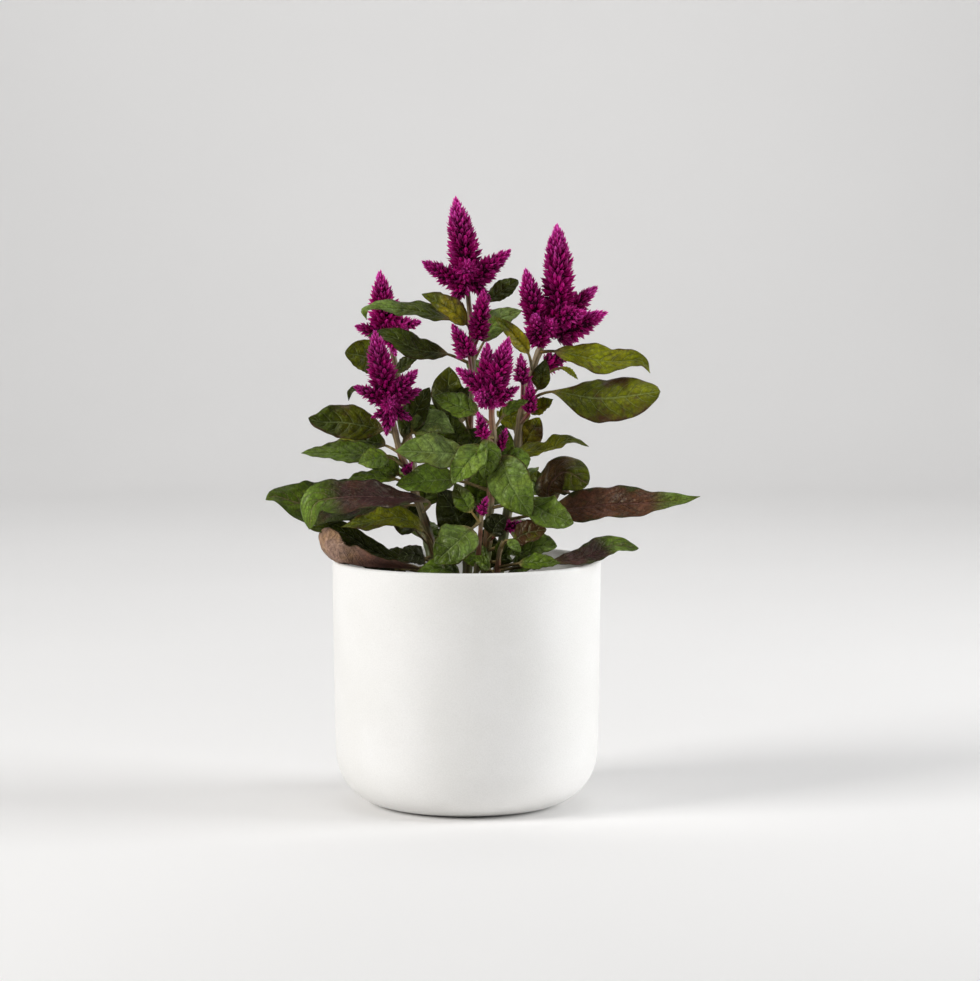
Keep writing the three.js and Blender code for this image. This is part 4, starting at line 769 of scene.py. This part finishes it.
def leaf_part(row, carrier, phase):
    """One leaf as a closed sheet. Across the rib the sheet is folded up by |u|^1.6 and waved along its
    margins by a sine; it swells between the side veins and dips at the midrib. The stalk is the same
    sheet drawn in to a round cord and led to the middle of the stem."""
    rib = np.array(row["rib"], float)
    attach = stem_point(carrier, row["at"])
    whole = smooth_path([attach, *rib])
    stalk, blade = whole[:PATH_STEPS], whole[PATH_STEPS - 1 :]  # the first gap of the curve is the stalk
    length = path_length(blade)
    t = np.linspace(0, 1, BLADE_ROWS) ** 0.95
    s = np.linspace(0, 1, PETIOLE_ROWS + 1)[:-1]
    stalk_points, stalk_ways = along_path(stalk, s)
    blade_points, blade_ways = along_path(blade, t)
    centre, along = np.vstack([stalk_points, blade_points]), np.vstack([stalk_ways, blade_ways])
    t = np.concatenate([np.zeros(PETIOLE_ROWS), t])
    on_stalk = np.concatenate([1 - s, np.zeros(BLADE_ROWS)])
    face = np.array(row["face"], float)
    up = mix(face, np.array(row.get("tip_face", row["face"]), float), t[:, None])
    side = unit(np.cross(along, up))
    normal = np.cross(side, along)
    cord = 0.62 + 0.3 * on_stalk
    half = np.maximum(half_width(row, t), cord * np.clip(1 - 2.5 * t, 0, 1))
    half = np.maximum(half, 0.12)[:, None]
    w = np.linspace(-1, 1, COLUMNS)
    u = np.sign(w) * np.abs(w) ** 1.2
    edge = np.abs(u)
    cup, wave = row.get("cup", 0.2), row.get("wave", 0.1)
    tt = t[:, None]
    calm = np.sin(math.pi * tt) ** 0.5
    swing = np.sin(2 * math.pi * 2.5 * tt + phase + np.where(u > 0, 1.9, 0))
    fold = cup * half * np.minimum(1, half / 4) * edge**1.6
    ripple = 0.28 * np.sin(2 * math.pi * 7.3 * tt + 2.3 * phase + np.where(u > 0, 0.8, 0)) * edge**4
    lift = fold + wave * row["width"] * 0.5 * edge**2 * swing * calm + ripple * calm
    veins = max(4.0, length / VEIN_SPACING)
    count = veins * (tt - (0.12 * edge + 0.17 * edge**2.2) * (1 - 0.3 * tt)) + 0.3 * np.where(u > 0, 1, 0)
    off_vein = np.abs(count - np.round(count))
    relief = 1.2 * (1 - np.exp(-((off_vein / 0.18) ** 2))) * (1 - edge**2) * edge**0.3 * np.minimum(1, half / 8)
    rumple = np.sin(1.9 * phase + 5.1 * tt + 2.4 * u) * np.sin(3.7 * tt * length / 20 - 1.8 * u + phase)
    crease = np.sin(4.3 * phase + 11 * tt + 5.5 * u) * np.sin(8.1 * tt * length / 20 + 4.9 * u - phase)
    relief = relief + row["width"] * (0.06 * rumple + 0.026 * crease) * edge * np.minimum(1, half / 6)
    groove = 0.4 * np.exp(-((u * half / 0.9) ** 2)) * np.minimum(1, half / 4)
    lift = lift + (relief - groove) * calm
    reach = u * half * (1 - 0.25 * cup * cup)
    sheet = centre[:, None] + side[:, None] * reach[..., None] + normal[:, None] * lift[..., None]
    across, down = np.gradient(sheet, axis=1), np.gradient(sheet, axis=0)
    out = unit(np.cross(across, down))
    out = np.where(on_stalk[:, None, None] > 0, normal[:, None], out)
    thick = np.maximum(BLADE_THICKNESS * (0.35 + 0.65 * np.sin(math.pi / 2 * np.clip(1 - tt, 0, 1))), 0.1)
    thick = mix(thick, 1.3 + 0.4 * on_stalk[:, None], np.exp(-((tt / 0.07) ** 2)))
    depth = thick / 2 * np.sqrt(1 - edge**4)
    keel = 0.55 * np.exp(-((u * half / 0.55) ** 2)) * (1 - tt) ** 0.8 * calm
    top, under = sheet + out * depth[..., None], sheet - out * (depth + keel)[..., None]
    skin = np.concatenate([top, under[:, -2:0:-1]], axis=1)
    turn = row.get("turn", 0.6)
    share = smoothstep(turn - 0.12, turn + 0.12, t + 0.05 * np.sin(9 * t + phase))[:, None]
    tint = mix(linear(TONES[row["tone"]]), linear(TONES[row["tip_tone"]]), share)
    tint = mix(tint, linear(PETIOLE), np.maximum(on_stalk, np.exp(-((t / 0.08) ** 2)))[:, None])
    columns = np.concatenate([u, u[-2:0:-1]])
    uv = np.stack(np.broadcast_arrays(0.5 + 0.5 * columns, np.concatenate([count, count[:, -2:0:-1]], 1)), -1)
    dress = np.zeros((*skin.shape[:2], 3))
    dress[:, COLUMNS:, 0] = 1
    dress[..., 1] = (row["blotch"] * smoothstep(0, 0.2, t) * (1 - share[:, 0] * ("turn" in row)))[:, None]
    dress[..., 2] = (on_stalk > 0)[:, None]
    return grid_part(skin, uv=uv, tint=tint[:, None], dress=dress)


# ---- plumes ----
def floret_template():
    """One floret: a pointed bud about its axis (x) with five keels and five grooves between them, and
    the points of three outer tepals that stand a little apart from it. The fourth column is the share
    of the way from foot to point, the fifth a factor of painted light and shade: painted highlight on
    the keels and points, painted shade in the grooves and at the foot."""
    around = 10
    turn = 2 * math.pi * np.arange(around) / around
    keel = np.arange(around) % 2 == 0
    points = [(0.0, 0.0, 0.0, 0.0, 0.6)]
    for along, radius, groove in ((0.28, 0.2, 0.74), (0.6, 0.17, 0.66)):
        for angle, is_keel in zip(turn + 0.3 * along, keel):
            r = radius * (1 if is_keel else groove)
            light = KEEL_PAINTED_HIGHLIGHT if is_keel else GROOVE_PAINTED_SHADE
            points.append((along, r * math.cos(angle), r * math.sin(angle), along, light))
    points.append((1.0, 0.0, 0.0, 1.0, 1.15))
    ring = np.arange(around)
    following = (ring + 1) % around
    low, high, crown = 1, 1 + around, 1 + 2 * around
    triangles = [
        np.stack([0 * ring, low + following, low + ring], axis=1),
        np.stack([low + ring, low + following, high + following], axis=1),
        np.stack([low + ring, high + following, high + ring], axis=1),
        np.stack([high + ring, high + following, crown + 0 * ring], axis=1),
    ]
    for i in range(3):
        angle = 2 * math.pi * (i + 0.25) / 3
        inner, outer = (0.12, 0.30) if i else (0.12, 0.36)
        for along, r, side, share, light in (
            (0.34, inner, -0.09, 0.4, 0.7), (0.34, inner, 0.09, 0.4, 0.7), (0.4, 0.27, 0.0, 0.5, 1.0),
            (0.86 - 0.05 * i, outer, 0.0, 1.0, 1.2),
        ):
            y = r * math.cos(angle) - side * math.sin(angle)
            z = r * math.sin(angle) + side * math.cos(angle)
            points.append((along, y, z, share, light))
        triangles.append(2 + 2 * around + 4 * i + np.array([(0, 1, 2), (0, 3, 1), (1, 3, 2), (2, 3, 0)]))
    return np.array(points), np.vstack(triangles)


def girth(s, radius, length):
    """Radius at the share s of a plume's length: drawn in a little at the foot, and over the last
    three radii by a quarter sine to the power 0.8, in to a sharp top."""
    narrowing = np.sin(math.pi / 2 * np.clip((1 - s) * length / (2.9 * radius), 0, 1)) ** 0.8
    return radius * narrowing * (0.86 + 0.14 * np.sin(math.pi * np.minimum(1, s / 0.6)))


def plume_part(root, tip, radius, seed, light=1.0):
    """A plume: a tapering core, painted dark as shade, with florets set round it by the golden angle, as many
    to each stretch as its surface has room for, smaller and closer towards the top. A floret stands out from
    the axis at the foot and turns to lie along it at the top, and its point lies on the plume's girth.
    Light is a factor of painted light and shade on its colours."""
    root, tip = np.array(root, float), np.array(tip, float)
    length = np.linalg.norm(tip - root)
    axis = (tip - root) / length
    side = unit(np.cross([0.3, 0.9, 0.2], axis))
    other = np.cross(axis, side)
    chance = np.random.default_rng(seed)
    grid = np.linspace(0.02, 1, 200)
    spacing = (2.45 + 0.17 * radius) * (0.42 + 0.58 * np.clip((1 - grid) / 0.5, 0, 1))
    room = np.cumsum(np.maximum(girth(grid, radius, length), 0.06 * radius) / spacing**2)
    count = int(2 * math.pi * room[-1] / 200 * length)
    s = np.interp((np.arange(count) + 0.5) / count, room / room[-1], grid)
    turn = np.arange(count) * GOLDEN_ANGLE + chance.uniform(0, 6) + chance.normal(0, 0.12, count)
    out = side * np.cos(turn)[:, None] + other * np.sin(turn)[:, None]
    size = 2.05 * np.interp(s, grid, spacing) * chance.uniform(0.82, 1.22, count)
    lean = np.radians(6 + 56 * np.clip((1 - s) / 0.6, 0, 1) ** 0.8 + 28 * np.exp(-s / 0.08))
    lean = lean + chance.normal(0, 0.14, count)
    way = unit(axis * np.cos(lean)[:, None] + out * np.sin(lean)[:, None])
    reach = girth(s, radius, length) * chance.uniform(0.9, 1.14, count) + 0.6 * np.clip((1 - s) / 0.3, 0, 1)
    point = root + axis * (s * length)[:, None] + out * reach[:, None]
    base = point - way * size[:, None]
    flat = unit(np.cross(way, axis + 0.01))
    up = np.cross(way, flat)
    roll = chance.uniform(0, 2 * math.pi, count)[:, None]
    flat, up = flat * np.cos(roll) + up * np.sin(roll), up * np.cos(roll) - flat * np.sin(roll)
    template, faces = floret_template()
    frames = np.stack([way, flat, up], axis=1)
    points = base[:, None] + np.einsum("pk,nkj->npj", template[:, :3], frames) * size[:, None, None]
    share = template[None, :, 3:4]
    # Share of the pale point colour, partly the tepals' own and partly a painted highlight: more near the plume's
    # top and on random florets.
    pink = (0.2 + 0.8 * smoothstep(0.55, 1.0, s))[:, None, None] * chance.uniform(0.2, 1.3, (count, 1, 1))
    body = linear(FLORET_BODY) * chance.uniform(0.6, 1.25, (count, 1, 1))
    near_tip = smoothstep(0.7, 1.0, s)[:, None, None]
    body = body + (linear(FLORET_TIP) - body) * 0.65 * near_tip
    # Painted shade at each floret's foot, with less of it near the plume's top.
    foot = mix(linear(FLORET_FOOT_PAINTED_SHADE), 0.5 * body, near_tip)
    pointed = mix(body, linear(FLORET_POINT_AND_HIGHLIGHT), np.clip(pink, 0, 1))
    low, high = np.clip(share / 0.6, 0, 1), np.clip((share - 0.6) / 0.4, 0, 1)
    tint = mix(foot, body, low**1.6) + (pointed - body) * high
    tint = np.clip(tint * template[None, :, 4:5] * light, 0, 1)
    # Painted shade: the core runs dark until near the top, then turns to a dimmed body colour.
    shares = np.linspace(0, 1, 20)
    core_path = np.linspace(root, root + axis * length * 0.94, 30)
    core = np.maximum(0.6 * girth(shares * 0.95, radius, length), 0.2)
    tints = mix(linear(FLORET_CORE_PAINTED_SHADE), 0.7 * linear(FLORET_BODY), smoothstep(0.6, 0.9, shares)[:, None]) * light
    return joined([scattered_part(points, faces, tint), tube_part(core_path, shares, core, tints, around=12)])


# ---- assembly ----
green_blade = leaf_finish("green_blade", (188, 204, 140), (72, 40, 28), (140, 142, 104), vein_share=0.62)
bronze_blade = leaf_finish("bronze_blade", (186, 140, 132), (52, 64, 26), (166, 132, 128), vein_share=0.5)
stem_skin = stem_finish()
papery_tepals = floret_finish()

make_piece("pot_wall", pot_part(), [ceramic_finish()], ["pot"])
make_piece("soil_bed", joined([soil_part(), crumb_parts()]), [soil_finish()], ["soil"])

for name, carrier in STEMS.items():
    stems = joined([stem_part(carrier), *(bloom_stalk_part(b) for b in SMALL_BLOOMS if b[0] == name)])
    blades = joined([leaf_part(row, carrier, i * 1.7) for i, row in enumerate(carrier["leaves"])])
    whole = joined([stems, blades])
    piece = make_piece(f"leafy_stem_{name}_grown", whole, [green_blade, stem_skin], [f"leafy_stem_{name}"])
    on_stem = np.concatenate([
        np.arange(len(whole["quads"])) < len(stems["quads"]),
        np.arange(len(whole["triangles"])) < len(stems["triangles"]),
    ])
    piece.data.polygons.foreach_set("material_index", on_stem.astype(np.int32))

for name, (carrier, row) in BRONZE_LEAVES.items():
    part = leaf_part(row, STEMS[carrier], 0.0)
    make_piece(f"bronze_blade_{name}", part, [bronze_blade], [f"bronze_leaf_{name}"])

for i, (name, plumes) in enumerate(HEADS.items()):
    whole = joined([
        plume_part(*plume, 100 * i + k, HEAD_PAINTED_LIGHT_AND_SHADE.get(name, 1.0)) for k, plume in enumerate(plumes)
    ])
    make_piece(f"plume_head_{name}", whole, [papery_tepals], [f"bloom_head_{name}"], smooth=False)

for i, (_, _, root, tip, radius) in enumerate(SMALL_BLOOMS):
    whole = plume_part(root, tip, radius, seed=900 + i)
    make_piece(f"side_bloom_{i + 1}", whole, [papery_tepals], [f"small_bloom_{i + 1}"], smooth=False)


# ---- stage: floor and backdrop in one sweep, soft lights, camera ----
def backdrop():
    """A floor that bends up into a wall: straight, a quarter circle, straight."""
    front, wall, height, half, columns, radius = -3.2, 2.7, 4.0, 5, 9, 0.9
    bend = np.linspace(0, math.pi / 2, 24)
    curve = np.stack([wall - radius + radius * np.sin(bend), radius - radius * np.cos(bend)], axis=1)
    profile = np.vstack([[[front, 0.0]], curve, [[wall, height]]])
    x = np.linspace(-half, half, columns)
    y, z = (np.repeat(profile[:, k : k + 1], columns, axis=1) for k in (0, 1))
    points = np.stack([np.broadcast_to(x, y.shape), y, z], axis=-1).reshape(-1, 3)
    index = np.arange(len(points)).reshape(len(profile), columns)
    quads = np.stack([index[:-1, :-1], index[:-1, 1:], index[1:, 1:], index[1:, :-1]], axis=-1).reshape(-1, 4)
    mesh = bpy.data.meshes.new("backdrop")
    mesh.from_pydata(points.tolist(), [], quads.tolist())
    mesh.polygons.foreach_set("use_smooth", np.full(len(quads), True))
    mesh.materials.append(backdrop_finish())
    placed("backdrop", mesh)


def soft_light(name, place, target, size, power, colour):
    """A square area light at place, turned to look at target."""
    data = bpy.data.lights.new(name, "AREA")
    data.shape, data.size, data.energy, data.color = "SQUARE", size, power, colour
    light = placed(name, data)
    light.location = place
    back = unit(np.array(place, float) - np.array(target, float))
    light.rotation_euler = (math.acos(back[2]), 0, math.atan2(back[0], -back[1]))


def camera(place, tilt, lens):
    """A camera that looks along +Y, tilted down by an angle in degrees."""
    data = bpy.data.cameras.new("camera")
    data.sensor_width, data.lens = 36, lens
    data.clip_start, data.clip_end = 0.05, 50
    made = placed("camera", data)
    made.location = place
    made.rotation_euler = (math.radians(90 - tilt), 0, 0)
    bpy.context.scene.camera = made


backdrop()
plant = (0, 0, 0.15)
soft_light("key_left", (-1.5, -0.8, 0.9), plant, 0.8, 26, (1.0, 0.99, 0.975))
soft_light("fill_right", (1.6, -0.1, 0.6), plant, 1.0, 22, (0.98, 0.99, 1.0))
soft_light("wall_wash", (0, 1.0, 1.8), (0, 2.7, 0.0), 1.6, 16, (1.0, 1.0, 1.0))
soft_light("top", (0.1, -0.5, 1.9), plant, 0.8, 6.5, (1.0, 1.0, 1.0))
world = bpy.data.worlds.new("studio")
world.use_nodes = True
sky = world.node_tree.nodes["Background"].inputs
sky["Color"].default_value, sky["Strength"].default_value = (0.95, 0.97, 1.0, 1), 0.06
bpy.context.scene.world = world
bpy.context.scene.view_settings.view_transform = "Standard"
camera(place=(0.01219, -1.881, 0.3309), tilt=5.06, lens=133.03)
